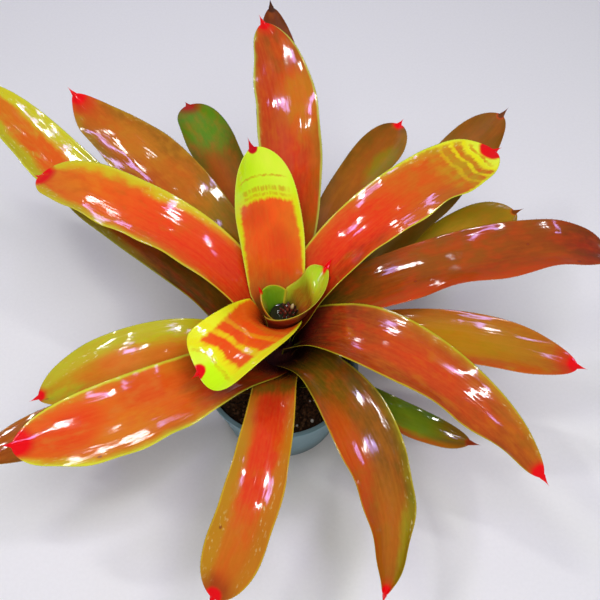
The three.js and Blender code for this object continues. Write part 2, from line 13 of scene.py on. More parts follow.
import bpy
import numpy as np
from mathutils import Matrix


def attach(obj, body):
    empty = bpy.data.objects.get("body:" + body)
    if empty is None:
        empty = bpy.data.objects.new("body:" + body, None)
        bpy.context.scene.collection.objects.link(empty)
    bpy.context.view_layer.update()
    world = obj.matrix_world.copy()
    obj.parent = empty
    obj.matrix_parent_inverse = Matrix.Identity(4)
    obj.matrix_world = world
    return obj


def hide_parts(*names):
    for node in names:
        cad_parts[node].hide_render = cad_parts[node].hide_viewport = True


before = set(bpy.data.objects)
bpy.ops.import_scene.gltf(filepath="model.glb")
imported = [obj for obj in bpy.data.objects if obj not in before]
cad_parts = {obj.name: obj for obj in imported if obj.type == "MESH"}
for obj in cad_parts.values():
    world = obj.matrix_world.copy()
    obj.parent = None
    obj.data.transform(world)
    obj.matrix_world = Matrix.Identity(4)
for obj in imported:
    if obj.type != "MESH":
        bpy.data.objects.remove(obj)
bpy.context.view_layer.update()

# %% [markdown]
# ## Camera
#
# The plant is looked down on from the front. A camera could be aimed with a constraint, but a place and one
# angle are enough here, because it looks straight along +Y and only tilts down.

# %% Camera
MM = 0.001
CAMERA_PLACE = np.array([19, -359, 775]) * MM
CAMERA_TILT = math.radians(57.7)  # below the horizon
CAMERA_LENS = 47.6
CAMERA_SENSOR = 36


def add_camera():
    """A camera at its place, turned from straight down to the tilt."""
    data = bpy.data.cameras.new("camera")
    data.lens = CAMERA_LENS
    data.sensor_width = CAMERA_SENSOR
    data.clip_start = 0.01
    camera = bpy.data.objects.new("camera", data)
    camera.location = CAMERA_PLACE
    camera.rotation_euler = (math.pi / 2 - CAMERA_TILT, 0, 0)
    bpy.context.scene.collection.objects.link(camera)
    bpy.context.scene.camera = camera
    return camera


print("camera:", add_camera().name)

# %% [markdown]
# ## Surfaces from arrays
#
# A leaf, a pot or a bud is easiest to write as a grid: one number runs along it, another across it, and a
# formula gives the place of each point. Numpy works out the whole grid at once. A grid that closes on
# itself makes a solid, and so does a pair of grids, one for each face, that share their border.

# %% Points
def smooth(value, low, high):
    """0 below low, 1 above high, and an easy S between."""
    share = np.clip((value - low) / (high - low), 0, 1)
    return share * share * (3 - 2 * share)


def turns(count):
    """Evenly spaced angles round a circle."""
    return np.arange(count) / count * 2 * math.pi


def around(radius, azimuth, height):
    """Points at a radius and an azimuth round the axis, at a height."""
    return np.stack(np.broadcast_arrays(radius * np.cos(azimuth), radius * np.sin(azimuth), height), axis=-1)


def unit(ways):
    """Each way made one long."""
    return ways / np.maximum(np.linalg.norm(ways, axis=-1, keepdims=True), 1e-9)


def between(where, stations, points):
    """The points of a path read off between its stations."""
    return np.stack([np.interp(where, stations, points[:, k]) for k in range(3)], axis=-1)


def waves(x, y, size, seed, count=14):
    """Gentle lumps from -1 to 1: a sum of plane waves about as long as size, in random directions."""
    random = np.random.default_rng(seed)
    total = np.zeros(np.broadcast(x, y).shape)
    for _ in range(count):
        direction, phase = random.uniform(0, 2 * math.pi, 2)
        stretch = 2 * math.pi / (size * random.uniform(0.7, 1.6))
        total += np.sin((x * math.cos(direction) + y * math.sin(direction)) * stretch + phase)
    return total / math.sqrt(count) / 1.4


print("four points round the axis:", around(1, turns(4), 0).round().tolist())


# %% Meshes
def link_mesh(name, points, faces, soft=True):
    """A mesh object at the origin from points in mm and faces as lists of point numbers."""
    mesh = bpy.data.meshes.new(name)
    mesh.from_pydata((np.asarray(points) * MM).tolist(), [], [list(face) for face in faces])
    mesh.polygons.foreach_set("use_smooth", np.full(len(mesh.polygons), soft))
    mesh.update()
    piece = bpy.data.objects.new(name, mesh)
    bpy.context.scene.collection.objects.link(piece)
    return piece


def link_copies(name, points, faces, soft=True):
    """Many small bodies as one mesh: points is an (n, k, 3) array, and all n bodies have the same faces."""
    count, size = points.shape[:2]
    every_face = [[corner + size * k for corner in face] for k in range(count) for face in faces]
    return link_mesh(name, points.reshape(-1, 3), every_face, soft)


def grid_faces(numbers):
    """The quads of a grid of point numbers, facing along (down the rows) x (along the columns)."""
    quads = [numbers[:-1, :-1], numbers[1:, :-1], numbers[1:, 1:], numbers[:-1, 1:]]
    return np.stack(quads, axis=-1).reshape(-1, 4)


def ringed_faces(rings, segments):
    """The faces of stacked rings between two end points, numbered first end, rings, last end."""
    numbers = 1 + np.arange(rings * segments).reshape(rings, segments)
    numbers = np.concatenate([numbers, numbers[:, :1]], axis=1)
    faces = grid_faces(numbers)[:, ::-1].tolist()
    faces += [[0, b, a] for a, b in zip(numbers[0, :-1], numbers[0, 1:])]
    faces += [[1 + rings * segments, a, b] for a, b in zip(numbers[-1, :-1], numbers[-1, 1:])]
    return faces


def bar_faces(sides):
    """The faces of an upright bar, the corners of its foot numbered before those of its top."""
    walls = [[a, (a + 1) % sides, sides + (a + 1) % sides, sides + a] for a in range(sides)]
    return walls + [list(range(sides - 1, -1, -1)), list(range(sides, 2 * sides))]


def turned(name, profile, segments, shift=None):
    """A closed body turned round the axis.

    profile is a list of (radius, height) that starts and ends on the axis, going anticlockwise when seen from
    the front on its right-hand side. shift(radius, azimuth, height) gives each point's move.
    """
    profile = np.asarray(profile, float)
    radius, azimuth = np.meshgrid(profile[1:-1, 0], turns(segments), indexing="ij")
    height = np.repeat(profile[1:-1, 1:], segments, axis=1)
    rings = around(radius, azimuth, height)
    if shift is not None:
        rings = rings + shift(radius, azimuth, height)
    ends = around(0, 0, profile[[0, -1], 1])
    ends[:, :2] += rings[[0, -1]].mean(axis=1)[:, :2]
    points = np.concatenate([ends[:1], rings.reshape(-1, 3), ends[1:]])
    return link_mesh(name, points, ringed_faces(*radius.shape))


print("a grid of 3 by 3 points has", len(grid_faces(np.arange(9).reshape(3, 3))), "faces")

# %% [markdown]
# ## The leaves' numbers
#
# These are the plain model's own numbers, in mm and degrees: where each leaf is seated, where it points,
# how long and broad it is, and how steep it runs at its seat, its quarters and its tip. A sculpted leaf
# would be quicker to start, but twenty-three leaves that must not cut through each other are easier to keep
# right by formula.
#
# sweep turns a leaf sideways along its run. fold is how far its channel bends to each side at the seat, the
# middle and the tip. widest, blunt and waist shape its outline. opens is where, in shares of its length,
# the sheath opens into the channel, wrap is the most that the sheath reaches round the axis to each side,
# and skew turns it. lean says how far the leaf follows the cup's tilt, and strips is the number of strips
# across the plain model's leaf.

# %% Leaf numbers
STEM_TOP = 152
STEM_TOP_RADIUS = 7
SEAT_STEP = 3
SEAT_FLARE = 0.75
SEAT_CLEARANCE = 1.3
BLADE_WIDTH = 50
SPINE_LENGTH = 9
SPINE_HALF_WIDTH = 2.4
TIP_ROUNDING = 0.6
SEAT_NARROWING = 0.78
SHEATH_WIDENING = 1.12
CUP_LEAN = np.array([0.13, 0.09])
LEAF = dict(
    length=290, width=1, sweep=0, fold=(60, 32, 22), widest=0.65, blunt=2.6, waist=0.8,
    opens=(0.05, 0.24), wrap=54, skew=0, lean=0, strips=6,
)
LEAVES = [
    dict(name="leaf_cup_left", azimuth=165, length=62, width=1.15, pitch=(86, 80, 74, 66, 66),
         opens=(2, 3), widest=0.5, blunt=2, waist=1, wrap=84, lean=1, strips=8),
    dict(name="leaf_cup_right", azimuth=36, length=85, width=1.65, pitch=(84, 78, 64, 42, 44),
         fold=(100, 75, 60), opens=(0.5, 0.95), widest=0.45, blunt=2, waist=1, wrap=120, skew=-70, lean=1,
         strips=12),
    dict(name="leaf_front_curl", azimuth=246, sweep=-44, length=146, width=1.27,
         pitch=(84, 73, 33, 2, -44), fold=(70, 45, 25), widest=0.8, blunt=4, opens=(0.3, 0.75), waist=1.1,
         wrap=80, strips=8),
    dict(name="leaf_back_upright", azimuth=94, sweep=30, length=184, width=1.15,
         pitch=(72, 66, 58, 58, 56), widest=0.55, blunt=4, opens=(0.2, 0.5), waist=0.9),
    dict(name="leaf_right_upper", azimuth=35, length=290, width=1.22, pitch=(80, 48, 15, -1, -10),
         widest=0.7, blunt=3.4),
    dict(name="leaf_left_upper", azimuth=151, length=305, width=1.18, pitch=(85, 47, 7, -3, -24),
         blunt=3.2),
    dict(name="leaf_right_front", azimuth=334, sweep=-26, length=294, width=1.22,
         pitch=(76, 32, -3, -14, -28), widest=0.4, blunt=1.7),
    dict(name="leaf_back_tall", azimuth=81, sweep=37, length=294, width=1.15, pitch=(62, 52, 42, 30, 22),
         widest=0.55, blunt=3.2),
    dict(name="leaf_right_long", azimuth=8.5, length=344, width=1.12, pitch=(78, 32, 12, -2, -46),
         blunt=2.2),
    dict(name="leaf_left_back", azimuth=131.5, sweep=4, length=338, width=1.25, pitch=(74, 43, 8, -6, 26),
         blunt=1.8),
    dict(name="leaf_front_right", azimuth=309, sweep=-60, length=272, width=1.15,
         pitch=(64, 15, -13, -25, -48), widest=0.45, blunt=1.8, fold=(60, 35, 90), waist=0.7, wrap=45),
    dict(name="leaf_left_front", azimuth=227.5, sweep=-48, length=262, width=1.4,
         pitch=(50, 31, 17, 7, -4), widest=0.6, wrap=75, opens=(0.1, 0.36)),
    dict(name="leaf_front_low", azimuth=268, sweep=-34, length=254, width=1, pitch=(62, 24, -2, -20, -34),
         widest=0.75, blunt=3.2),
    dict(name="leaf_back_right", azimuth=60, length=270, width=0.9, pitch=(68, 49, 16, -3, -1),
         widest=0.75, blunt=3),
    dict(name="leaf_right_mid", azimuth=350, length=280, width=1.05, pitch=(61, 32, 8, -8, -14), blunt=2.2),
    dict(name="leaf_left_mid", azimuth=197, length=237, width=1.2, pitch=(61, 39, 0, -14, -20), blunt=2.2),
    dict(name="leaf_back_left", azimuth=109, sweep=8, length=290, width=0.95, pitch=(62, 45, 16, -3, -13),
         widest=0.75, blunt=3),
    dict(name="leaf_back_right_low", azimuth=41, length=300, width=1.08, pitch=(42, 27, 27, 30, 28),
         widest=0.75, blunt=3),
    dict(name="leaf_far_left", azimuth=146.5, sweep=-15, length=385, width=1.14,
         pitch=(56, 22, 15, 18, 20)),
    dict(name="leaf_back_hidden", azimuth=88, sweep=12, length=330, width=0.9, pitch=(48, 44, 38, 30, 28)),
    dict(name="leaf_right_low", azimuth=25, length=260, width=1.05, pitch=(54, 38, 24, 11, 2), widest=0.75,
         blunt=3),
    dict(name="leaf_front_tucked", azimuth=322, sweep=18, length=194, width=0.62, pitch=(50, 28, 8, 8, 20)),
    dict(name="leaf_left_low", azimuth=206, length=270, width=0.95, pitch=(34, 18, 12, 8, 0)),
]
# Each leaf takes the rest of its numbers from LEAF, and its rank from its place in the list.
LEAVES = [{**LEAF, "rank": rank, **leaf} for rank, leaf in enumerate(LEAVES)]
print(len(LEAVES), "leaves, the longest", max(leaf["length"] for leaf in LEAVES), "mm")

# %% [markdown]
# ## The blade as a formula
#
# The midrib is a walk: at each step it goes on at the pitch that a smooth curve through the five values
# gives. Near the seat the blade is a strip of a cup round the plant's axis, so that the bases fit into each
# other like paper cones. Further out it opens into a shallow channel, an arc across the midrib.

# %% The blade
WALK_STEPS = 240
SEAT_TO = 0.1  # these three are shares of the blade
SHEATH_FADES = (0.08, 0.26)
WAIST_FROM = 0.16
SPINE_TAPER = 1.7
SPINE_END = 0.05


def through(values, share):
    """A smooth curve through evenly spaced values: Catmull-Rom, its ends held level."""
    values = np.asarray(values, float)
    last = len(values) - 1
    cell = np.minimum(np.floor(share * last), last - 1).astype(int)
    part = share * last - cell
    before, start, end, after = (values[np.clip(cell + k, 0, last)] for k in (-1, 0, 1, 2))
    rise = part * part * (3 - 2 * part)
    leaving = (end - before) / 2 * part * (1 - part) ** 2
    arriving = (after - start) / 2 * part**2 * (1 - part)
    return start + (end - start) * rise + leaving - arriving


def half_width(leaf, along):
    """Half the blade's width in mm: a round-ended outline, a waist above the sheath, and the spine's cone."""
    spine = SPINE_LENGTH / leaf["length"]
    blade = np.clip(along / (1 - spine), 0, 1)
    towards_tip = np.clip((blade - leaf["widest"]) / (1 - leaf["widest"]), 0, 1)
    outline = (1 - towards_tip ** leaf["blunt"]) ** TIP_ROUNDING
    neck = leaf["waist"] + (1 - leaf["waist"]) * smooth(blade, WAIST_FROM, leaf["widest"])
    seat = SEAT_NARROWING + (1 - SEAT_NARROWING) * smooth(blade, 0, SEAT_TO)
    sheath = SHEATH_WIDENING + (1 - SHEATH_WIDENING) * smooth(blade, *SHEATH_FADES)
    half = leaf["width"] * BLADE_WIDTH / 2 * outline * neck * seat * sheath
    cone = SPINE_HALF_WIDTH * np.clip((1 - along) / spine, 0, 1) ** SPINE_TAPER + SPINE_END
    return np.maximum(half, cone)


def ways_at(leaf, along):
    """The blade's way ahead, at its pitch and heading, and its way across, which stays level."""
    pitch = np.radians(through(leaf["pitch"], along))
    heading = np.radians(leaf["azimuth"] + leaf["sweep"] * along**2)
    across = np.stack([-np.sin(heading), np.cos(heading), np.zeros_like(heading)], -1)
    return around(np.cos(pitch), heading, np.sin(pitch)), across


def midrib(leaf, along):
    """The midrib's places, and its across and up directions. The walk is summed in short steps."""
    steps = np.arange(WALK_STEPS + 1) / WALK_STEPS
    ahead = ways_at(leaf, steps)[0]
    walked = np.concatenate([np.zeros((1, 3)), np.cumsum(ahead[:-1], axis=0)]) * leaf["length"] / WALK_STEPS
    seat_radius = STEM_TOP_RADIUS + leaf["rank"] * SEAT_FLARE + SEAT_CLEARANCE
    seat = around(seat_radius, math.radians(leaf["azimuth"]), STEM_TOP - leaf["rank"] * SEAT_STEP)
    ahead, across = ways_at(leaf, along)
    return between(along, steps, walked + seat), across, np.cross(ahead, across)


def blade_grid(leaf, along, across):
    """The middle surface on a grid: along runs 0 to 1 from the seat, across -1 to 1 between the margins."""
    place, sideways, up = midrib(leaf, along)
    half = half_width(leaf, along)
    near, middle, tip = leaf["fold"]
    fold = near + (middle - near) * smooth(along, 0, 0.5)
    fold = np.radians(fold + (tip - fold) * smooth(along, 0.5, 1))
    radius = (half / fold)[:, None, None]
    bend = (across[None, :] * fold[:, None])[..., None]
    blade = place[:, None] + radius * (np.sin(bend) * sideways[:, None] + (1 - np.cos(bend)) * up[:, None])
    from_axis = np.hypot(place[:, 0], place[:, 1])
    reach = np.minimum(half / from_axis, math.radians(leaf["wrap"]))
    azimuth = np.arctan2(place[:, 1], place[:, 0]) + math.radians(leaf["skew"])
    turn = azimuth[:, None] + across * reach[:, None]
    cup = around(from_axis[:, None], turn, place[:, 2:])
    grid = cup + (blade - cup) * smooth(along, *leaf["opens"])[:, None, None]
    grid[..., :2] += CUP_LEAN * leaf["lean"] * np.maximum(grid[..., 2:] - STEM_TOP, 0)
    return grid


three_places = blade_grid(LEAVES[5], np.array([0, 0.5, 1]), np.zeros(1))
print("a blade's seat, middle and tip, mm:", three_places.round().tolist())

# %% [markdown]
# ## Leaves that lie on each other
#
# In a real rosette each leaf is pressed outwards by the ones inside it. Physics could do that, but a rule
# is steadier: going from the innermost leaf outwards, every point of a leaf is slid along a slant, outwards
# and down, until it lies a little beyond all the leaves before it. The slides are worked out on the plain
# model's coarse grid, so that the fine leaf keeps its place, and are then spread smoothly over the fine
# grid.

# %% Slant places
LEAF_CLEARANCE = 3.2
SETTLE_BLEND = 2.5
SKIRTS = ((15, 0.35, 3), (38, 0.9, 32))  # beyond a margin: width, most turn round the stem, rise
EASE = 0.9
EASE_PASSES = 4
SPREAD_PASSES = (14, 4)  # along and across
COARSE_STEPS = 12
COARSE_BIAS = 1.3
TIP_SHARE = 0.05


def to_slant(points):
    """Points as places across the slant (x, y) and depth along it."""
    x, y, z = np.moveaxis(points, -1, 0)
    radius = np.hypot(x, y)
    outward = (radius + z) / math.sqrt(2)
    return np.stack([outward * x / radius, outward * y / radius, (radius - z) / math.sqrt(2)], -1)


def from_slant(places):
    """The way back from to_slant."""
    x, y, depth = np.moveaxis(places, -1, 0)
    outward = np.hypot(x, y)
    radius = (outward + depth) / math.sqrt(2)
    return np.stack([radius * x / outward, radius * y / outward, (outward - depth) / math.sqrt(2)], -1)


def skirted(places):
    """A leaf's slant places with skirts added beside both margins and below the seat."""
    columns = [places]
    for edge, before, first in ((places[:, 0], places[:, 1], True), (places[:, -1], places[:, -2], False)):
        outward = np.hypot(edge[:, 0], edge[:, 1])
        radius = (outward + edge[:, 2]) / math.sqrt(2)
        way = np.sign(before[:, 0] * edge[:, 1] - before[:, 1] * edge[:, 0])
        for width, turn, rise in SKIRTS:
            azimuth = np.arctan2(edge[:, 1], edge[:, 0]) + way * np.minimum(width / radius, turn)
            column = around(outward, azimuth, edge[:, 2] - rise)
            columns.insert(0 if first else len(columns), column[:, None])
    wide = np.concatenate(columns, axis=1)
    seat = wide[0]
    outward = np.hypot(seat[:, 0], seat[:, 1])[:, None]
    rows = [wide]
    for width, _, rise in SKIRTS:
        below = np.concatenate([seat[:, :2] * (outward - width) / outward, seat[:, 2:] - rise], axis=1)
        rows.insert(0, below[None])
    return np.concatenate(rows, axis=0)


there_and_back = from_slant(to_slant(np.array([[30.0, 40.0, 150.0]])))
print("a point brought to the slant and back:", there_and_back.round(6).tolist())


# %% Depths
def triangles_of(places):
    """The triangles of a grid of slant places."""
    quads = grid_faces(np.arange(places[..., 0].size).reshape(places.shape[:2]))
    flat = places.reshape(-1, 3)
    return np.concatenate([flat[quads[:, [0, 1, 2]]], flat[quads[:, [0, 2, 3]]]])


def deepest_at(triangles, places):
    """The greatest depth of the triangles over each place, by barycentric shares, or minus infinity."""
    x, y = (places.reshape(-1, 3)[:, k, None] for k in (0, 1))
    a, b, c = triangles[:, 0], triangles[:, 1], triangles[:, 2]
    ab, ac = b - a, c - a
    area = ab[:, 0] * ac[:, 1] - ac[:, 0] * ab[:, 1]
    area = np.where(np.abs(area) < 1e-9, np.nan, area)
    v = ((x - a[:, 0]) * ac[:, 1] - ac[:, 0] * (y - a[:, 1])) / area
    w = (ab[:, 0] * (y - a[:, 1]) - (x - a[:, 0]) * ab[:, 1]) / area
    inside = (v >= 0) & (w >= 0) & (v + w <= 1)
    depth = np.where(inside, a[:, 2] + v * ab[:, 2] + w * ac[:, 2], -np.inf)
    return depth.max(axis=1).reshape(places.shape[:2])


def blurred(values, passes_along, passes_across):
    """Each value pulled towards its neighbours' mean, some passes each way, with the borders repeated."""
    for axis, passes in ((0, passes_along), (1, passes_across)):
        for _ in range(passes):
            padded = np.concatenate([values.take([0], axis), values, values.take([-1], axis)], axis)
            count = padded.shape[axis]
            before, here, after = (padded.take(range(k, count - 2 + k), axis) for k in (0, 1, 2))
            values = (before + 2 * here + after) / 4
    return values


print("a step blurred once:", blurred(np.array([[0.0], [1.0], [1.0]]), 1, 0).ravel().tolist())


# %% Settling
def coarse_places(leaf):
    """The stations along and across of the plain model's grid."""
    spine = SPINE_LENGTH / leaf["length"]
    body = (np.arange(COARSE_STEPS + 1) / COARSE_STEPS) ** COARSE_BIAS * (1 - spine - TIP_SHARE)
    along = np.concatenate([body, [1 - spine - TIP_SHARE * 0.4, 1 - spine * 0.9, 1 - spine * 0.45, 1]])
    return along, np.linspace(-1, 1, leaf["strips"] + 1)


def pushes_for(leaf, sheets):
    """How far each point of the coarse grid slides along the slant to clear the leaves inside it."""
    along, across = coarse_places(leaf)
    places = to_slant(blade_grid(leaf, along, across))
    pushes = np.zeros(places.shape[:2])
    if sheets:
        wanted = deepest_at(np.concatenate(sheets), places) + LEAF_CLEARANCE
        # Where no leaf lies inside this one, it counts as a kilometre clear.
        short = np.where(np.isfinite(wanted), wanted - places[..., 2], -1e6)
        pushes = (short + np.hypot(short, SETTLE_BLEND)) / 2
    for _ in range(EASE_PASSES):
        edged = np.pad(pushes, 1, mode="edge")
        mean = (edged[:-2, 1:-1] + edged[2:, 1:-1] + edged[1:-1, :-2] + edged[1:-1, 2:]) / 4
        pushes = np.maximum(pushes, EASE * mean)
    places[..., 2] += pushes
    return pushes, triangles_of(skirted(places))


def settled(leaf, pushes, along, across):
    """The fine grid, slid by the coarse pushes spread smoothly over it."""
    coarse_along, coarse_across = coarse_places(leaf)
    rows = np.stack([np.interp(along, coarse_along, column) for column in pushes.T], axis=1)
    spread = np.stack([np.interp(across, coarse_across, row) for row in rows])
    places = to_slant(blade_grid(leaf, along, across))
    places[..., 2] += blurred(spread, *SPREAD_PASSES)
    return from_slant(places)


PUSHES = []
sheets_so_far = []
for leaf in LEAVES:
    push, sheet = pushes_for(leaf, sheets_so_far)
    PUSHES.append(push)
    sheets_so_far.append(sheet)
print("most that a leaf was slid, mm:", round(max(push.max() for push in PUSHES)))

# %% [markdown]
# ## Shader sums
#
# A colour that changes over a leaf is a sum of masks. Writing each Math node by hand hides the idea, so a
# small class wraps a socket and lets Python's own signs add the nodes.

# %% Shader sums
class Signal:
    """A number that varies over a surface. Sums and products with it add Math nodes."""

    def __init__(self, finish, socket):
        self.finish = finish
        self.socket = socket

    def __add__(self, other):
        return self.finish.math("ADD", self, other)

    def __sub__(self, other):
        return self.finish.math("SUBTRACT", self, other)

    def __rsub__(self, other):
        return self.finish.math("SUBTRACT", other, self)

    def __mul__(self, other):
        return self.finish.math("MULTIPLY", self, other)

    def __truediv__(self, other):
        return self.finish.math("DIVIDE", self, other)

    def __rtruediv__(self, other):
        return self.finish.math("DIVIDE", other, self)

    def __pow__(self, power):
        return self.finish.math("POWER", self, power)

    def __abs__(self):
        return self.finish.math("ABSOLUTE", self)

    # A sum and a product are the same either way round.
    __radd__ = __add__
    __rmul__ = __mul__


def shade(red, green, blue):
    """A screen colour, 0 to 255, as the linear colour that a socket wants."""
    linear = [((c / 255 + 0.055) / 1.055) ** 2.4 if c > 10 else c / 255 / 12.92 for c in (red, green, blue)]
    return (*linear, 1)


print("mid grey is", round(shade(128, 128, 128)[0], 3), "in linear light")


# %% Finishes
class Finish:
    """One material. add() makes any node: its type, its settings, then its sockets' values or links."""

    def __init__(self, name):
        self.material = bpy.data.materials.new(name)
        self.material.use_nodes = True
        self.tree = self.material.node_tree
        self.tree.nodes.clear()

    def add(self, kind, settings, sockets):
        node = self.tree.nodes.new(kind)
        for key, value in settings.items():
            setattr(node, key, value)
        for key, value in sockets.items():
            if isinstance(value, Signal):
                value = value.socket
            if isinstance(value, bpy.types.NodeSocket):
                self.tree.links.new(value, node.inputs[key])
            else:
                node.inputs[key].default_value = value
        return node

    def math(self, operation, *values):
        node = self.add("ShaderNodeMath", {"operation": operation}, dict(enumerate(values)))
        return Signal(self, node.outputs[0])

    def rise(self, value, low, high):
        """0 to 1 as value goes from low to high, in an S. Low may be above high."""
        sockets = {"Value": value, "From Min": low, "From Max": high}
        node = self.add("ShaderNodeMapRange", {"interpolation_type": "SMOOTHSTEP"}, sockets)
        return Signal(self, node.outputs["Result"])

    def mix(self, share, first, second):
        """A colour between two colours, each a socket or a screen colour."""
        ends = [shade(*colour) if isinstance(colour, tuple) else colour for colour in (first, second)]
        node = self.add("ShaderNodeMix", {"data_type": "RGBA"}, {0: share, 6: ends[0], 7: ends[1]})
        return node.outputs[2]

    def place(self):
        """A point's own place on the object, in metres."""
        return self.add("ShaderNodeTexCoord", {}, {}).outputs["Object"]

    def parts(self, vector):
        """A vector's x, y and z."""
        node = self.add("ShaderNodeSeparateXYZ", {}, {0: vector})
        return [Signal(self, output) for output in node.outputs]

    def stretched(self, vector, scale, offset):
        """A vector times a scale, plus an offset: the first step of any pattern."""
        sockets = {0: vector, 1: scale, 2: offset}
        return self.add("ShaderNodeVectorMath", {"operation": "MULTIPLY_ADD"}, sockets).outputs[0]

    def noise(self, vector, scale, detail, offset=(0, 0, 0), distortion=0.0):
        """Lumps from 0 to 1, as many to a metre as scale says, the same each way if it is one number."""
        if not isinstance(scale, tuple):
            scale = (scale, scale, scale)
        pattern = self.stretched(vector, scale, offset)
        sockets = {"Vector": pattern, "Scale": 1, "Detail": detail, "Distortion": distortion}
        return Signal(self, self.add("ShaderNodeTexNoise", {}, sockets).outputs[0])

    def bump(self, height, distance):
        node = self.add("ShaderNodeBump", {}, {"Height": height, "Distance": distance, "Strength": 1})
        return node.outputs[0]

    def surface(self, sockets):
        """Ends the material with one Principled shader."""
        shader = self.add("ShaderNodeBsdfPrincipled", {}, sockets)
        self.add("ShaderNodeOutputMaterial", {}, {"Surface": shader.outputs[0]})
        return self.material


# %% [markdown]
# ## Leaf colours
#
# The colour of a neoregelia leaf depends on its age and on the light it had. So each leaf has its own few
# colours: the flush along its heart, its two flanks, its foot and its end. Young leaves have a lime end,
# with wavy bands where the orange stops. Every tip has a red spot. Painting by hand would give the same,
# but masks worked out from the place on the blade stay sharp at any size.

# %% Leaf maps and noises
MARGIN = (196, 190, 60)
LIME = (208, 255, 16)
LIME_PALE = (236, 255, 70)
LIME_YELLOW = (240, 232, 20)
BAND = (214, 112, 18)
TIP_RED = (238, 6, 16)
EMBER = (236, 36, 16)
SCALE_AND_SHEEN_GRAIN = (244, 246, 170)
SPECK = (120, 26, 12)
SEAT_PURPLE_AND_SHADE = (52, 14, 18)
SHEATH_PURPLE_AND_SHADE = (34, 8, 16)
SCALES = (176, 168, 140)
# Lumps to the metre across and along, detail, and how far along its pattern each noise starts.
UPPER_NOISES = dict(
    clouds=(34, 13, 2, 1), streaks=(520, 20, 4, 2), blots=(120, 60, 3, 3), mottle=(420, 170, 3, 4),
)
UNDER_NOISES = dict(clouds=(40, 16, 2, 11), streaks=(420, 16, 3, 12), scales=(30, 260, 3, 13))


class LeafFinish(Finish):
    """A leaf's material: its maps, in shares of the blade and in metres, its noises, and its coats so far."""

    def __init__(self, name, look, length, seed, noises):
        super().__init__(name)
        self.look = look
        self.length = length
        self.seed = seed
        self.metres = self.add("ShaderNodeUVMap", {"uv_map": "metres"}, {}).outputs[0]
        across, self.along, _ = self.parts(self.add("ShaderNodeUVMap", {"uv_map": "place"}, {}).outputs[0])
        self.across = across * 2 - 1
        for title, numbers in noises.items():
            setattr(self, title, self.lumps(*numbers))

    def lumps(self, across, along, detail, start, depth=0, distortion=0.0):
        """Noise over the blade, other on every leaf."""
        return self.noise(self.metres, (across, along, 0), detail, (self.seed, start, depth), distortion)

    def coat(self, share, colour):
        """Lays a colour over the coats so far."""
        self.colour = self.mix(share, self.colour, colour)

    def relief(self):
        """Fine ribs along the blade and shallow dimples, in shares of 1 mm. They break up the gloss."""
        ribs = self.lumps(300, 14, 1, 0, 3)
        dimples = self.lumps(110, 50, 2, 5, 1, 0.4)
        return self.bump(ribs * 0.28 + dimples * 0.3, 0.001)


print("noises of an upper face:", *UPPER_NOISES)


# %% Leaf flesh
def base_coat(paint, drift):
    """Flanks, heart, foot and end, each fading into the next along a cloudy border."""
    look = paint.look
    aside = paint.across + drift - look["heart_at"]
    paint.colour = look["flanks"][0]
    paint.coat(paint.rise(aside, -0.95, -0.3), look["heart"])
    paint.coat(paint.rise(aside, 0.3, 0.95), look["flanks"][1])
    paint.coat(paint.rise(paint.along + drift * 0.12, look["foot_to"], look["foot_from"]), look["foot"])
    end = paint.rise(paint.along + drift * 0.15, look["end_from"], look["end_from"] + 0.2)
    paint.coat(end * 0.8, look["end"])


def add_patches(paint, drift):
    """Soft cloudy ovals of another colour, each given by its middle and half size in shares of the blade."""
    for middle, aside, half_length, half_breadth, colour, strength in paint.look["patches"]:
        far_along = (paint.along + drift * 0.09 - middle) / half_length
        far_aside = (paint.across + drift * 0.35 - aside) / half_breadth
        away = far_along * far_along + far_aside * far_aside + (paint.blots - 0.5) * 1.1
        paint.coat(paint.rise(away, 1.8, 0.0) * strength, colour)


def add_streaks(paint):
    """Red embers in the flesh, fine light and dark streaks along it, and golden clouds further out."""
    look = paint.look
    paint.coat(paint.rise(paint.blots + paint.clouds * 0.6, 0.66, 1.1) * look["ember"], EMBER)
    grain = paint.streaks * 0.6 + paint.mottle * 0.5
    paint.coat(paint.rise(grain, 0.38, 0.8) * 0.15, look["streak"])
    paint.coat(paint.rise(grain, 0.5, 0.24) * 0.07, look["shadow"])
    gilt = paint.rise(paint.blots - paint.clouds * 0.5, 0.2, 0.5) * paint.rise(paint.along, 0.3, 0.55)
    paint.coat(gilt * look["gilt"], look["gilt_colour"])


def add_edging(paint):
    """A paler zone inside a margin, where a leaf has one, with pale grains of scales and painted sheen. It
    narrows towards the foot.
    """
    for side, start, colour, strength in paint.look["edging"]:
        border = paint.across * side + (paint.along - 0.75) * 0.4
        border = border + (paint.clouds - 0.5) * 0.4 + (paint.blots - 0.5) * 0.5
        band = paint.rise(border, start - 0.05, start + 0.33) * paint.rise(paint.along, 0.25, 0.5)
        paint.coat(band * strength, colour)
        # Pale grains: partly the margin's scales, partly a painted sheen.
        grains = paint.rise(paint.mottle, 0.56, 0.74) * paint.rise(paint.clouds, 0.4, 0.6)
        paint.coat(band * grains * 0.6, SCALE_AND_SHEEN_GRAIN)


def add_rim(paint):
    """The pale line along both margins, from just above the seat."""
    rim_at = 1 - paint.look["rim"]
    rim = paint.rise(abs(paint.across) + (paint.blots - 0.5) * 0.08, rim_at, rim_at + 0.07)
    paint.coat(rim * paint.rise(paint.along, 0.08, 0.25) * 0.75, paint.look["rim_colour"])


def add_specks(paint):
    """A few small brown scars. Returns their mask."""
    pattern = paint.stretched(paint.metres, (85, 60, 0), (paint.seed, 7, 0))
    specks = paint.add("ShaderNodeTexVoronoi", {}, {"Vector": pattern, "Scale": 1})
    rare = paint.rise(paint.parts(specks.outputs["Color"])[0], 0.9, 0.92)
    away = Signal(paint, specks.outputs["Distance"]) + (paint.mottle - 0.5) * 0.2
    scar = rare * paint.rise(away, 0.13, 0.06)
    paint.coat(scar * 0.7, SPECK)
    return scar


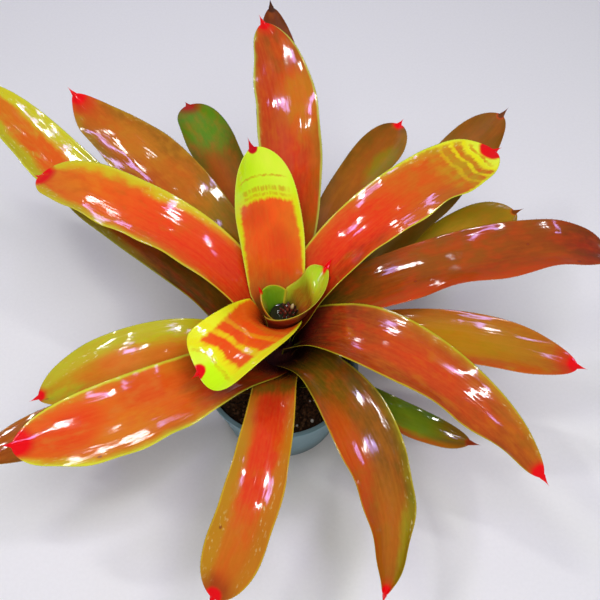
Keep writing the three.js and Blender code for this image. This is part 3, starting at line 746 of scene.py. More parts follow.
# %% Lime end and red tip
def add_lime(paint):
    """The lime end of a young leaf, which comes down both margins. Its border is combed along the blade."""
    look = paint.look
    start = look["lime_from"]
    aside = abs(paint.across)
    soft = (paint.clouds - 0.5) * 0.07 + (paint.mottle - 0.5) * 0.02
    level = paint.along + soft - aside**2 * look["arch"] + paint.across * look["tilt"]
    end = paint.rise(level + (paint.streaks - 0.5) * 0.03, start - 0.01, start + 0.014)
    notches = paint.lumps(60, 260, 2, 9) - 0.5
    reach = paint.rise(paint.along, look["side_from"], start) * look["lime_side"]
    sides = paint.rise(aside + soft * 2.4 + notches * 0.12 + reach - 1, 0.0, 0.13)
    lime = paint.mix(paint.rise(paint.clouds, 0.35, 0.7), LIME, LIME_PALE)
    lime = paint.mix(paint.rise(level, start + 0.08, start) * 0.7, lime, LIME_YELLOW)
    paint.coat(paint.math("MAXIMUM", end, sides), lime)
    comb = paint.rise(paint.streaks, 0.36, 0.56)
    if look["ripples"]:
        add_ripples(paint, level, comb)
    inner = paint.rise(aside + soft * 3, 0.9, 0.62)
    for centre, half_length, strength, combed in look["bands"]:
        band = paint.rise(abs(level - centre), half_length, half_length * 0.3)
        flecks = ((1 - combed) + comb * combed) * (paint.rise(paint.blots, 0.3, 0.55) * 0.6 + 0.4)
        paint.coat(band * inner * flecks * strength, BAND)


def add_ripples(paint, level, comb):
    """Ripples of lime that run into the orange: a sine along the blade, broken by the blots."""
    first, last, count = paint.look["ripples"]
    turns_a_share = 2 * math.pi * count / (last - first)
    wave = paint.math("SINE", (level + (paint.streaks - 0.5) * 0.012 - first) * turns_a_share)
    zone = paint.rise(level, first, last) * paint.rise(level, last + 0.03, last)
    broken = paint.rise(paint.blots, 0.3, 0.5) * 0.45 + comb * 0.15 + 0.4
    ragged = wave + (paint.blots - 0.5) * 1.8 + (paint.streaks - 0.5) * 0.4
    paint.coat(paint.rise(ragged, -0.1, 1.1) * zone * broken, LIME_YELLOW)


def add_tip(paint, lumps):
    """The red spot at the tip, measured in metres from the spine's foot, with a soft blush round it."""
    look = paint.look
    beside, run, _ = paint.parts(paint.metres)
    short = paint.math("MAXIMUM", (paint.length - SPINE_LENGTH) * MM - run, 0.0)
    away = paint.math("SQRT", beside * beside * 1.3 + short**2) + (lumps - 0.5) * 0.003
    reach = look["spot"] * MM
    paint.coat(paint.rise(away, reach * look["blush"], reach) * look["blush_share"], look["blush_colour"])
    paint.coat(paint.rise(away, reach * 1.2, reach * look["spot_edge"]), look["tip_colour"])


# %% Upper and lower paint
GLOSS = 0.04


def upper_paint(name, look, length, seed):
    """The upper face: flesh, a dark throat at the seat that is partly painted shade, any lime end, rim, scars
    and tip.
    """
    paint = LeafFinish(name, look, length, seed, UPPER_NOISES)
    drift = (paint.clouds - 0.5) * 1.1 + (paint.streaks - 0.5) * 0.2 + (paint.mottle - 0.5) * 0.3
    base_coat(paint, drift)
    add_patches(paint, drift)
    add_streaks(paint)
    add_edging(paint)
    # The dark seat: partly the leaf's own purple-black, partly painted shade deep in the rosette.
    paint.coat(paint.rise(paint.along + drift * 0.03, look["throat"], look["throat"] * 0.3) * 0.9, SEAT_PURPLE_AND_SHADE)
    if look["lime_from"]:
        add_lime(paint)
    add_rim(paint)
    scar = add_specks(paint)
    add_tip(paint, paint.blots)
    return paint.surface({
        "Base Color": paint.colour,
        "Roughness": (look["dull"] or GLOSS) + paint.streaks * 0.12 + scar * 0.2,
        "Normal": paint.relief(),
        "Specular IOR Level": 0.2 if look["dull"] else 0.6,
        "Coat Weight": 0.0 if look["dull"] else 0.4,
        "Coat Roughness": 0.04,
    })


def under_paint(name, look, length, seed):
    """The lower face: a purple-black sheath, partly painted shade, then a duller blade with faint silvery
    cross bands of scales.
    """
    paint = LeafFinish(name, look, length, seed, UNDER_NOISES)
    station = paint.along + (paint.clouds - 0.5) * 0.3
    # The sheath's purple-black: partly its own colour, partly painted shade under the overlapping leaves.
    paint.colour = SHEATH_PURPLE_AND_SHADE
    paint.coat(paint.rise(station, look["sheath"], look["sheath"] + 0.22), look["under"])
    paint.coat(paint.rise(station, 0.6, 0.95), look["under_end"])
    paint.coat(paint.rise(paint.scales, 0.5, 0.75) * 0.28, SCALES)
    paint.coat(paint.rise(abs(paint.across), 0.9, 0.97) * 0.8, look["rim_colour"])
    add_tip(paint, paint.clouds)
    return paint.surface({
        "Base Color": paint.colour,
        "Roughness": 0.34 + paint.streaks * 0.16,
        "Normal": paint.relief(),
        "Specular IOR Level": 0.5,
        "Coat Weight": 0.1,
        "Coat Roughness": 0.2,
    })


# %% [markdown]
# ## Each leaf's look
#
# LOOK holds what most leaves share, and each leaf's entry says where it differs. Colours are screen
# colours, 0 to 255. Shares run from the seat, 0, to the tip, 1, and across from -1 to 1.
#
# - Flesh: heart is the colour along the middle, moved aside by heart_at. flanks are the colours beside it,
#   first the side to the right of the midrib when looking from the seat to the tip. foot fades out from
#   foot_from to foot_to, end comes in from end_from, and throat is as far as the dark seat reaches; that
#   dark is partly the leaf's own purple-black and partly painted shade. ember, gilt, streak and shadow tint
#   it. A patch is its middle along and across, its half length and half breadth, its colour and its
#   strength.
# - Margin: rim is its breadth. An edging is its side, where it starts, its colour and its strength.
# - Tip: spot is the red spot's size in mm, spot_edge how soft it is, and blush how many times as far the
#   tint round it reaches.
# - Lime end: it starts at lime_from, bends by arch and leans by tilt, and comes down the margins by
#   lime_side, from side_from on. ripples are the first and last share and how many, and a band is its
#   middle, its half length, its strength and how combed it is.
# - dull is the roughness of a leaf without gloss. sheath, under and under_end belong to the lower face.

# %% Each leaf's look
RED = (230, 48, 20)
DEEP_RED = (206, 44, 18)
GOLD = (196, 132, 22)
OLIVE_YELLOW = (190, 184, 24)
LOOK = dict(
    heart_at=0, foot_from=0.16, foot_to=0.36, end_from=0.72, throat=0.16, ember=0.5, gilt=0.3,
    gilt_colour=(186, 122, 24), streak=(236, 140, 44), shadow=(120, 40, 12), rim=0.06, rim_colour=MARGIN,
    patches=(), edging=(), spot=9, spot_edge=0.72, tip_colour=TIP_RED, blush=1.6, blush_share=0.5,
    blush_colour=(214, 50, 20), lime_from=0, side_from=0.2, lime_side=0.24, arch=0.04, tilt=0, ripples=(),
    bands=(), dull=0, sheath=0.26, under=(150, 74, 34), under_end=(168, 120, 44),
)

LOOKS = {
    "leaf_cup_left": dict(
        heart=(104, 160, 20), flanks=((120, 160, 22), (150, 170, 26)), foot=(50, 70, 16), foot_from=0.3,
        foot_to=0.55, end=(150, 206, 24), throat=0.2, ember=0.0, gilt=0.0, streak=(150, 200, 60),
        shadow=(50, 90, 20), rim=0.12, rim_colour=(206, 176, 40), spot=1.6, spot_edge=0.9,
        patches=((0.6, 0.5, 0.2, 0.4, GOLD, 0.5),),
        edging=((1, 0.3, (190, 136, 34), 0.9), (-1, 0.75, (150, 190, 40), 0.5)), sheath=0.2,
        under=(176, 100, 20), under_end=(200, 160, 30),
    ),
    "leaf_cup_right": dict(
        heart=(166, 84, 22), flanks=((150, 170, 30), (150, 150, 26)), foot=(70, 78, 20), foot_from=0.25,
        foot_to=0.5, end=(176, 226, 30), end_from=0.6, throat=0.2, ember=0.15, gilt=0.0,
        streak=(200, 180, 60), shadow=(90, 50, 10), rim=0.09, rim_colour=(206, 200, 60), spot=3.5,
        edging=((-1, 0.6, (176, 206, 40), 0.7), (1, 0.6, (176, 206, 40), 0.7)), sheath=0.2,
        under=(134, 48, 14), under_end=(186, 150, 40),
    ),
    "leaf_front_curl": dict(
        heart=(240, 84, 16), flanks=((230, 104, 18), (232, 96, 18)), foot=(170, 64, 16), end=(238, 120, 18),
        ember=0.4, gilt=0.2, rim=0.03, rim_colour=(214, 236, 70), spot=7, spot_edge=0.9, blush_share=0.0,
        lime_from=0.79, side_from=0.15, lime_side=0.4, arch=0.05, tilt=0.055, ripples=(0.4, 0.81, 3.4),
        bands=((0.83, 0.012, 0.4, 0.4),), patches=((0.3, 0.0, 0.14, 0.7, (206, 70, 22), 0.6),), sheath=0.5,
        under=(150, 60, 20),
    ),
    "leaf_back_upright": dict(
        heart=(255, 94, 24), flanks=((246, 122, 28), (246, 124, 34)), foot=(176, 110, 40), foot_from=0.22,
        foot_to=0.46, end=(255, 118, 28), throat=0.08, ember=0.4, gilt=0.15, rim_colour=(226, 240, 90),
        spot=5, spot_edge=0.9, tip_colour=(206, 6, 24), blush_share=0.0, lime_from=0.7, side_from=0.1,
        lime_side=0.28, arch=-0.03, tilt=-0.012,
        bands=((0.728, 0.012, 0.4, 0.9), (0.758, 0.018, 0.55, 0.9), (0.82, 0.007, 0.6, 0.4)),
        patches=((0.45, -0.3, 0.1, 0.4, RED, 0.5), (0.62, 0.3, 0.06, 0.4, RED, 0.4)),
    ),
    "leaf_right_upper": dict(
        heart=(226, 66, 20), flanks=((216, 90, 20), (216, 100, 24)), foot=(164, 50, 14), foot_to=0.38,
        end=(200, 108, 22), end_from=0.5, ember=0.55, rim=0.08, rim_colour=(210, 222, 60), spot=14.5,
        spot_edge=0.9, blush_share=0.0, lime_from=0.88, side_from=0.4, lime_side=0.13, arch=0.02,
        ripples=(0.75, 0.89, 3.2), bands=((0.91, 0.008, 0.75, 0.2), (0.94, 0.006, 0.5, 0.2)),
        patches=(
            (0.36, 0.0, 0.2, 0.7, RED, 0.7), (0.34, -0.6, 0.15, 0.5, (164, 48, 16), 0.8),
            (0.83, 0.0, 0.08, 1.1, (190, 158, 26), 0.8),
        ),
        edging=((1, 0.74, (204, 196, 40), 0.65),),
    ),
    "leaf_left_upper": dict(
        heart=(238, 86, 24), flanks=((224, 100, 24), (226, 112, 26)), foot=(206, 52, 16), foot_from=0.2,
        foot_to=0.5, end=(230, 116, 22), end_from=0.6, gilt=0.35, rim=0.12, rim_colour=(214, 206, 50),
        spot=16, blush=1.3,
        patches=((0.4, 0.0, 0.18, 0.7, (232, 54, 24), 0.75), (0.86, -0.2, 0.1, 0.6, (226, 128, 28), 0.6)),
        edging=((-1, 0.55, (214, 204, 34), 0.85), (1, 0.6, (206, 196, 34), 0.75)),
    ),
    "leaf_right_front": dict(
        heart=(178, 72, 20), flanks=((170, 62, 14), (178, 92, 20)), foot=(124, 44, 14), foot_from=0.2,
        foot_to=0.44, end=(170, 78, 18), end_from=0.62, throat=0.3, ember=0.4, gilt=0.45, rim=0.09,
        rim_colour=(190, 186, 36), spot=11,
        patches=((0.55, 0.0, 0.13, 0.6, (214, 60, 26), 0.5), (0.86, 0.4, 0.08, 0.4, (168, 100, 20), 0.7)),
        edging=((1, 0.6, (190, 142, 30), 0.6),),
    ),
    "leaf_back_tall": dict(
        heart=(186, 68, 22), flanks=((172, 96, 18), (180, 70, 22)), foot=(150, 76, 20), end=(140, 60, 16),
        end_from=0.8, ember=0.45, rim=0.1, rim_colour=(186, 200, 84), spot=7, tip_colour=(226, 10, 10),
        blush=2.2, blush_share=0.7,
        patches=(
            (0.5, 0.2, 0.14, 0.6, (206, 60, 34), 0.7), (0.72, -0.5, 0.11, 0.6, (198, 118, 18), 0.9),
            (0.87, -0.2, 0.06, 0.8, (150, 84, 18), 0.6), (0.8, 0.6, 0.12, 0.35, (196, 56, 22), 0.6),
        ),
        edging=((1, 0.8, (150, 160, 44), 0.7),),
    ),
    "leaf_right_long": dict(
        heart=(148, 66, 18), flanks=((190, 66, 18), (140, 74, 18)), foot=(72, 60, 12), foot_to=0.42,
        end=(112, 34, 12), throat=0.2, ember=0.3, gilt=0.2, gilt_colour=(170, 92, 22),
        streak=(196, 110, 20), rim=0.05, rim_colour=(176, 110, 36), spot=7,
        patches=((0.52, 0.3, 0.13, 0.6, (150, 86, 20), 0.6), (0.96, 0.4, 0.03, 0.6, OLIVE_YELLOW, 0.6)),
    ),
    "leaf_left_back": dict(
        heart=(186, 100, 22), flanks=((160, 100, 20), (160, 92, 18)), foot=(140, 110, 20), foot_from=0.34,
        foot_to=0.56, end=(196, 70, 16), end_from=0.8, ember=0.25, gilt=0.6, gilt_colour=(190, 132, 30),
        rim=0.05, rim_colour=(176, 150, 40), spot=13, blush=2.4, blush_share=0.8,
        patches=((0.72, -0.1, 0.12, 0.6, (206, 136, 30), 0.5), (0.6, 0.4, 0.1, 0.4, (176, 66, 16), 0.5)),
        edging=((1, 0.62, (170, 140, 34), 0.6), (-1, 0.8, (176, 150, 30), 0.5)),
    ),
    "leaf_front_right": dict(
        heart=(132, 80, 14), flanks=((198, 72, 18), (116, 86, 14)), foot=(100, 80, 14), foot_from=0.24,
        foot_to=0.46, end=(168, 96, 18), throat=0.2, ember=0.25, gilt=0.4, gilt_colour=(150, 112, 20),
        rim=0.08, rim_colour=(186, 172, 34), spot=10, blush=2.0,
        patches=(
            (0.5, -0.5, 0.16, 0.4, (206, 76, 18), 0.7), (0.75, 0.1, 0.14, 0.6, (178, 104, 20), 0.7),
            (0.84, 0.75, 0.13, 0.4, (150, 150, 22), 0.85),
        ),
        edging=((1, 0.62, (140, 140, 20), 0.6),),
    ),
    "leaf_left_front": dict(
        heart=(226, 108, 24), flanks=((222, 118, 24), (216, 116, 24)), foot=(150, 60, 16), foot_from=0.22,
        foot_to=0.44, end=(232, 92, 20), throat=0.18, gilt=0.5, gilt_colour=(214, 132, 44), rim=0.1,
        rim_colour=(220, 228, 60), spot=16, blush=1.4,
        patches=(
            (0.8, -0.1, 0.12, 0.5, (230, 60, 20), 0.75), (0.5, -0.5, 0.12, 0.35, (224, 66, 22), 0.7),
            (0.34, 0.0, 0.09, 0.7, (170, 66, 20), 0.6), (0.62, 0.3, 0.1, 0.4, (220, 132, 30), 0.6),
        ),
        edging=((1, 0.66, (214, 204, 44), 0.8), (-1, 0.84, (190, 190, 40), 0.7)),
    ),
    "leaf_front_low": dict(
        heart=(222, 66, 20), flanks=((200, 112, 22), (204, 120, 24)), foot=(130, 96, 18), foot_from=0.24,
        foot_to=0.3, end=(200, 104, 18), end_from=0.62, throat=0.2, rim=0.08, rim_colour=(204, 176, 36),
        blush=3.0, blush_share=0.8, blush_colour=(164, 64, 16),
        patches=(
            (0.36, 0.0, 0.07, 0.7, DEEP_RED, 0.8), (0.55, 0.0, 0.16, 0.45, (222, 52, 24), 0.7),
            (0.78, 0.0, 0.1, 0.9, (200, 112, 22), 0.7), (0.95, 0.0, 0.05, 1.0, (166, 74, 20), 0.8),
        ),
        edging=((-1, 0.35, (186, 142, 26), 0.7), (1, 0.35, (196, 126, 26), 0.75)),
    ),
    "leaf_back_right": dict(
        heart=(150, 84, 16), flanks=((136, 96, 14), (120, 80, 14)), foot=(120, 84, 16), end=(100, 56, 12),
        end_from=0.84, ember=0.1, gilt=0.2, streak=(176, 120, 20), rim=0.04, rim_colour=(150, 140, 30),
        spot=7, dull=0.4, patches=((0.74, -0.45, 0.09, 0.5, (134, 126, 14), 0.8),),
    ),
    "leaf_right_mid": dict(
        heart=(176, 116, 20), flanks=((204, 84, 18), (176, 104, 20)), foot=(140, 110, 16),
        end=(178, 72, 20), end_from=0.8, ember=0.2, gilt=0.5, gilt_colour=(176, 136, 26), rim=0.07,
        rim_colour=(196, 120, 36), spot=11, blush=2.6, blush_share=0.8,
        patches=((0.6, -0.1, 0.16, 0.5, (176, 132, 18), 0.8),),
    ),
    "leaf_left_mid": dict(
        heart=(206, 130, 24), heart_at=0.2, flanks=(OLIVE_YELLOW, (202, 120, 20)), foot=(170, 150, 24),
        end=(186, 170, 24), ember=0.3, rim_colour=(190, 200, 50), spot=8,
        patches=(
            (0.62, -0.1, 0.1, 0.5, (222, 124, 44), 0.75), (0.45, 0.2, 0.08, 0.5, (210, 96, 24), 0.6),
            (0.88, 0.3, 0.08, 0.4, (170, 188, 30), 0.7),
        ),
        edging=((-1, 0.3, (196, 190, 50), 0.6),),
    ),
    "leaf_back_left": dict(
        heart=(128, 86, 12), flanks=((96, 88, 10), (90, 88, 12)), foot=(110, 84, 12), end=(90, 112, 12),
        end_from=0.78, ember=0.15, gilt=0.1, streak=(150, 110, 15), rim=0.04, rim_colour=(110, 120, 20),
        tip_colour=(170, 34, 14), blush=2.6, blush_share=0.8, blush_colour=(150, 44, 12), dull=0.46,
        patches=((0.84, -0.1, 0.14, 1.2, (84, 138, 8), 0.95), (0.55, 0.2, 0.13, 0.5, (168, 64, 16), 0.6)),
    ),
    "leaf_back_right_low": dict(
        heart=(142, 96, 14), flanks=((124, 100, 12), (130, 90, 14)), foot=(108, 112, 24), foot_to=0.6,
        end=(130, 76, 14), ember=0.1, gilt=0.1, streak=(176, 120, 20), rim=0.04, rim_colour=(150, 120, 20),
        spot=4, tip_colour=(110, 56, 14), dull=0.44,
    ),
    "leaf_far_left": dict(
        heart=(222, 92, 22), heart_at=0.1, flanks=((206, 140, 24), (196, 120, 20)), foot=(116, 78, 14),
        foot_from=0.3, foot_to=0.5, end=(212, 120, 22), ember=0.45, gilt=0.7, gilt_colour=(206, 150, 40),
        rim=0.1, rim_colour=(206, 210, 60), spot=10,
        edging=((-1, 0.3, (206, 204, 36), 0.9), (1, 0.4, (184, 184, 34), 0.85)),
    ),
    "leaf_back_hidden": dict(
        heart=(110, 56, 12), flanks=((100, 66, 12), (104, 56, 12)), foot=(80, 62, 12), end=(100, 42, 12),
        ember=0.1, gilt=0.1, streak=(140, 80, 15), rim=0.03, rim_colour=(120, 90, 20), spot=6,
        tip_colour=(70, 34, 12), blush_share=0.0, dull=0.46,
    ),
    "leaf_right_low": dict(
        # The heart's pale gold is partly a painted sheen.
        heart=(196, 150, 40), flanks=((170, 124, 24), (150, 136, 24)), foot=(104, 92, 16),
        end=(138, 112, 18), ember=0.1, streak=(180, 150, 20), rim=0.05, rim_colour=(160, 150, 30), spot=4,
        tip_colour=(120, 60, 14), dull=0.14,
    ),
    "leaf_front_tucked": dict(
        heart=(112, 142, 24), flanks=((190, 84, 16), (90, 126, 24)), foot=(110, 146, 30),
        end=(160, 100, 16), ember=0.05, gilt=0.0, streak=(140, 170, 50), shadow=(60, 80, 16), rim=0.05,
        rim_colour=(140, 150, 30), spot=4, tip_colour=(176, 66, 16),
    ),
    "leaf_left_low": dict(
        heart=(158, 76, 16), flanks=((150, 100, 14), (132, 106, 14)), foot=(104, 88, 14), end=(150, 72, 14),
        ember=0.2, rim=0.05, rim_colour=(150, 150, 26), spot=7,
    ),
}
print(len(LOOKS), "looks for", len(LEAVES), "leaves")

# %% [markdown]
# ## Building a leaf
#
# The fine grid gets soft waves that a plain formula lacks: the margins rise and fall a little, and the
# blade is never quite even, which is what breaks a window's reflection into streaks. Each face is the
# middle surface moved half a thickness, and the two share their border, so that the leaf closes in a thin
# rounded edge. Small teeth stand along both margins.

# %% Leaf surface
ROWS_ALONG = 150
ROWS_SPINE = 9
COLUMNS = 37
TIP_CROWDING = 1.5
MARGIN_CROWDING = 1.35
BLADE_HALF_THICKNESS = 0.65
MARGIN_HALF_THICKNESS = 0.4
MARGIN_WAVE = 1.5
MARGIN_WAVE_LENGTHS = (38, 95)
HOLLOW_DEPTH = 0.55
HOLLOW_SIZE = 22
WAVES_COME = (0.3, 0.55)  # shares of the length over which the waves come in, and go again
WAVES_GO = (0.93, 1.0)
SEAT_CLOSING = 0.01  # the shares of the length over which the two faces come together
TIP_CLOSING = 0.003


def fine_places(leaf):
    """Stations along, closest near the round end, and across, closest near the margins."""
    spine = SPINE_LENGTH / leaf["length"]
    body = (1 - (1 - np.linspace(0, 1, ROWS_ALONG)) ** TIP_CROWDING) * (1 - spine)
    along = np.concatenate([body, 1 - spine + spine * np.linspace(0, 1, ROWS_SPINE + 1)[1:]])
    share = np.linspace(-1, 1, COLUMNS)
    return along, np.sign(share) * (1 - (1 - np.abs(share)) ** MARGIN_CROWDING)


def normals_of(grid):
    """The unit normal of each point of a grid, from the ways along and across it."""
    return unit(np.cross(np.gradient(grid, axis=0), np.gradient(grid, axis=1)))


def waved(leaf, grid, along, across, seed):
    """The middle surface with its margins raised and lowered, and with shallow lengthwise hollows."""
    random = np.random.default_rng(seed)
    run = along * leaf["length"]
    free = smooth(along, *WAVES_COME) * (1 - smooth(along, *WAVES_GO))
    move = np.zeros(grid.shape[:2])
    for side in (-1, 1):
        height = 0
        for _ in range(3):
            wave_length, phase = random.uniform(*MARGIN_WAVE_LENGTHS), random.uniform(0, 6.3)
            height = height + np.sin(run * 2 * math.pi / wave_length + phase)
        move += height[:, None] / 2 * MARGIN_WAVE * np.clip(across * side, 0, 1)[None, :] ** 2.5
    move += waves(across[None, :] * 26, run[:, None] * 0.45, HOLLOW_SIZE, seed + 50) * HOLLOW_DEPTH
    return grid + normals_of(grid) * (move * free[:, None])[..., None]


def leaf_faces(leaf, push, along, across, seed):
    """The upper and the lower face: the middle surface moved half a thickness each way."""
    middle = waved(leaf, settled(leaf, push, along, across), along, across, seed)
    thick = BLADE_HALF_THICKNESS + (MARGIN_HALF_THICKNESS - BLADE_HALF_THICKNESS) * across**2
    thick = thick * np.sqrt(np.clip(1 - np.abs(across) ** 12, 0, 1))
    closing = np.sqrt(np.clip(along / SEAT_CLOSING, 0, 1)) * np.sqrt(np.clip((1 - along) / TIP_CLOSING, 0, 1))
    most = half_width(leaf, along)[:, None] * 0.75 * (1 - across**2)[None, :]
    offset = normals_of(middle) * np.minimum(thick[None, :] * closing[:, None], most)[..., None]
    return middle + offset, middle - offset


print("points of one face:", ROWS_ALONG + ROWS_SPINE, "by", COLUMNS)

# %% Teeth
TOOTH_SPACING = 4.2
TOOTH_LENGTH = 0.9
TOOTH_HALF_WIDTH = 0.35
TOOTH_HALF_THICKNESS = 0.22
TOOTH_SIZES = (0.7, 1.2)  # times the length, drawn for each
TEETH_FROM = 0.08  # of the margin's length
TEETH_OVER = 0.86
TOOTH_FACES = ((0, 3, 1), (1, 3, 2), (2, 3, 0), (0, 1, 2))


def teeth(leaf, along, middle, side):
    """Small three-sided teeth along one margin, leaning towards the tip: their points, faces and stations."""
    column = 0 if side < 0 else -1
    edge = middle[:, column]
    inward = middle[:, 1 if side < 0 else -2] - edge
    run = np.concatenate([[0], np.cumsum(np.linalg.norm(np.diff(edge, axis=0), axis=1))])
    random = np.random.default_rng(leaf["rank"] * 2 + (side > 0))
    count = int(run[-1] * TEETH_OVER / TOOTH_SPACING)
    where = run[-1] * TEETH_FROM + (np.arange(count) + random.uniform(-0.25, 0.25, count)) * TOOTH_SPACING
    foot = between(where, run, edge)
    ahead = unit(between(where + 1, run, edge) - foot)
    into = unit(between(where, run, inward))
    up = np.cross(ahead, into) * TOOTH_HALF_THICKNESS
    size = TOOTH_LENGTH * random.uniform(*TOOTH_SIZES, (count, 1))
    root = foot + into * 0.3
    breadth = ahead * TOOTH_HALF_WIDTH * size
    tip = foot - into * size * 0.7 + ahead * size * 0.75
    points = np.stack([root - breadth, root + breadth + up, root + breadth - up, tip], axis=1)
    order = np.array([face[::side] for face in TOOTH_FACES])
    faces = (order + 4 * np.arange(count)[:, None, None]).reshape(-1, 3)
    stations = np.interp(where, run, along)
    return points.reshape(-1, 3), faces, np.repeat(stations, 4), np.full(4 * count, side * 0.99)


print("teeth on a margin of 250 mm:", int(250 * TEETH_OVER / TOOTH_SPACING))


# %% Leaf mesh
def face_numbers(rows, columns):
    """The point numbers of the upper and of the lower face. They share their border."""
    upper = np.arange(rows * columns).reshape(rows, columns)
    lower = upper.copy()
    lower[1:-1, 1:-1] = rows * columns + np.arange((rows - 2) * (columns - 2)).reshape(rows - 2, columns - 2)
    return upper, lower


def add_maps(piece, leaf, station, side):
    """The leaf's two maps: place, in shares of the blade, and metres, across and along the midrib."""
    corner = np.empty(len(piece.data.loops), int)
    piece.data.loops.foreach_get("vertex_index", corner)
    metres = np.stack([side * half_width(leaf, station), station * leaf["length"]], -1) * MM
    for title, values in (("place", np.stack([(side + 1) / 2, station], -1)), ("metres", metres)):
        piece.data.uv_layers.new(name=title).data.foreach_set("uv", values[corner].ravel())


def build_leaf(leaf, push):
    """One leaf as a closed mesh with its two maps. Its lower face takes the second material."""
    along, across = fine_places(leaf)
    upper, lower = leaf_faces(leaf, push, along, across, leaf["rank"] + 1)
    station, side = np.meshgrid(along, across, indexing="ij")
    inner = np.s_[1:-1, 1:-1]
    points = [upper.reshape(-1, 3), lower[inner].reshape(-1, 3)]
    stations = [station.ravel(), station[inner].ravel()]
    sides = [side.ravel(), side[inner].ravel()]
    top, bottom = face_numbers(*station.shape)
    faces = grid_faces(top).tolist() + grid_faces(bottom)[:, ::-1].tolist()
    under = np.repeat([0, 1], len(faces) // 2).tolist()
    for margin in (-1, 1):
        block, triangles, block_stations, block_sides = teeth(leaf, along, (upper + lower) / 2, margin)
        faces += (triangles + sum(len(part) for part in points)).tolist()
        under += [0] * len(triangles)
        points.append(block)
        stations.append(block_stations)
        sides.append(block_sides)
    piece = link_mesh(leaf["name"] + "_blade", np.concatenate(points), faces)
    piece.data.polygons.foreach_set("material_index", under)
    add_maps(piece, leaf, np.concatenate(stations), np.concatenate(sides))
    return piece


def dress(piece, *nodes):
    """Puts a finished piece in place of its nodes: it rides on the plant, and their parts in the plain model
    are hidden.
    """
    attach(piece, "root")
    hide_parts(*nodes)
    return piece


# %% Build the leaves
PAINT_SEED_STEP = 3.7

leaf_polygons = 0
for leaf, push in zip(LEAVES, PUSHES):
    name, length, seed = leaf["name"], leaf["length"], leaf["rank"] * PAINT_SEED_STEP
    look = {**LOOK, **LOOKS[name]}
    piece = build_leaf(leaf, push)
    piece.data.materials.append(upper_paint(name + "_upper", look, length, seed))
    piece.data.materials.append(under_paint(name + "_under", look, length, seed))
    dress(piece, name)
    leaf_polygons += len(piece.data.polygons)
print("leaves:", leaf_polygons, "faces")

# %% [markdown]
# ## The pot
#
# A thin moulded nursery pot: a turned shell with a band under the lip and a foot ring, and six holes in the
# floor. The shell is a profile carried round the axis. The holes are cut with a Boolean, the one step that
# a profile can't do.

# %% Profiles
def rounded(corners, bends, steps=5):
    """A profile with its corners rounded: each corner becomes a short curve between two points beside it."""
    corners = np.asarray(corners, float)
    path = [corners[0]]
    for before, corner, after, bend in zip(corners[:-2], corners[1:-1], corners[2:], bends[1:-1]):
        into = corner + (before - corner) / np.linalg.norm(before - corner) * bend
        out = corner + (after - corner) / np.linalg.norm(after - corner) * bend
        for share in np.linspace(0, 1, steps if bend else 1):
            path.append(into * (1 - share) ** 2 + corner * 2 * share * (1 - share) + out * share**2)
    return np.array([*path, corners[-1]])


def filled_in(profile, longest):
    """The same profile with long straight stretches divided, so that its faces stay short."""
    path = [profile[0]]
    for start, end in zip(profile[:-1], profile[1:]):
        pieces = max(1, int(np.linalg.norm(end - start) / longest))
        path += [start + (end - start) * (k + 1) / pieces for k in range(pieces)]
    return np.array(path)


print("a square corner rounded:", rounded([(0, 0), (9, 0), (9, 9)], [0, 2, 0], 3).tolist())

# %% Pot
POT_HEIGHT = 88
POT_RIM_RADIUS = 76
POT_FOOT_RADIUS = 60
POT_WALL = 2
POT_SEGMENTS = 160
LONGEST_STRETCH = 8
RIM_BAND_HEIGHT = 13
RIM_BAND_STEP = 2.5
FLOOR_LIFT = 3
FLOOR_THICKNESS = 2.5
FOOT_RING_WIDTH = 9
FOOT_PAD_RADIUS = 12
DRAIN_RADIUS = 5
DRAIN_CIRCLE = 32
DRAIN_COUNT = 6
DRAIN_SIDES = 32
CUTTER_HEIGHTS = (-5, 15)


def wall_radius(height):
    """The wall's outer radius at a height, below the band."""
    return POT_FOOT_RADIUS + (POT_RIM_RADIUS - RIM_BAND_STEP - POT_FOOT_RADIUS) * height / POT_HEIGHT


def pot_profile():
    """The shell's outline, from the middle of the floor's underside, up the wall and back down inside."""
    band_foot = POT_HEIGHT - RIM_BAND_HEIGHT
    floor_top = FLOOR_LIFT + FLOOR_THICKNESS
    ring_inside = POT_FOOT_RADIUS - FOOT_RING_WIDTH
    mouth = POT_RIM_RADIUS - POT_WALL - RIM_BAND_STEP
    rows = [  # radius, height, bend of the corner
        (0, 0, 0), (FOOT_PAD_RADIUS, 0, 1),
        (FOOT_PAD_RADIUS + 3, FLOOR_LIFT, 1), (ring_inside - 3, FLOOR_LIFT, 1),
        (ring_inside, 0, 1), (POT_FOOT_RADIUS - 0.4, 0, 2),
        (wall_radius(band_foot), band_foot, 0.8),
        (wall_radius(band_foot) + RIM_BAND_STEP, band_foot + 1, 0.8),
        (POT_RIM_RADIUS, POT_HEIGHT, 0.9), (mouth, POT_HEIGHT, 0.8),
        (wall_radius(floor_top) - POT_WALL, floor_top, 2), (0, floor_top, 0),
    ]
    return filled_in(rounded([row[:2] for row in rows], [row[2] for row in rows]), LONGEST_STRETCH)


def drain_cutter():
    """Plain upright bars through the floor as one mesh, to cut the drainage holes with."""
    low, high = CUTTER_HEIGHTS
    foot = around(DRAIN_RADIUS, turns(DRAIN_SIDES), low)
    bar = np.concatenate([foot, foot + [0, 0, high - low]])
    places = around(DRAIN_CIRCLE, turns(DRAIN_COUNT), 0)
    return link_copies("drain_cutter", places[:, None] + bar, bar_faces(DRAIN_SIDES), soft=False)


def cut(piece, cutter):
    """Takes the cutter away from the piece, keeps the result and removes the cutter."""
    modifier = piece.modifiers.new("cut", "BOOLEAN")
    modifier.object = cutter
    modifier.solver = "EXACT"
    bpy.context.view_layer.update()
    result = bpy.data.meshes.new_from_object(piece.evaluated_get(bpy.context.evaluated_depsgraph_get()))
    piece.modifiers.clear()
    piece.data = result
    bpy.data.objects.remove(cutter)


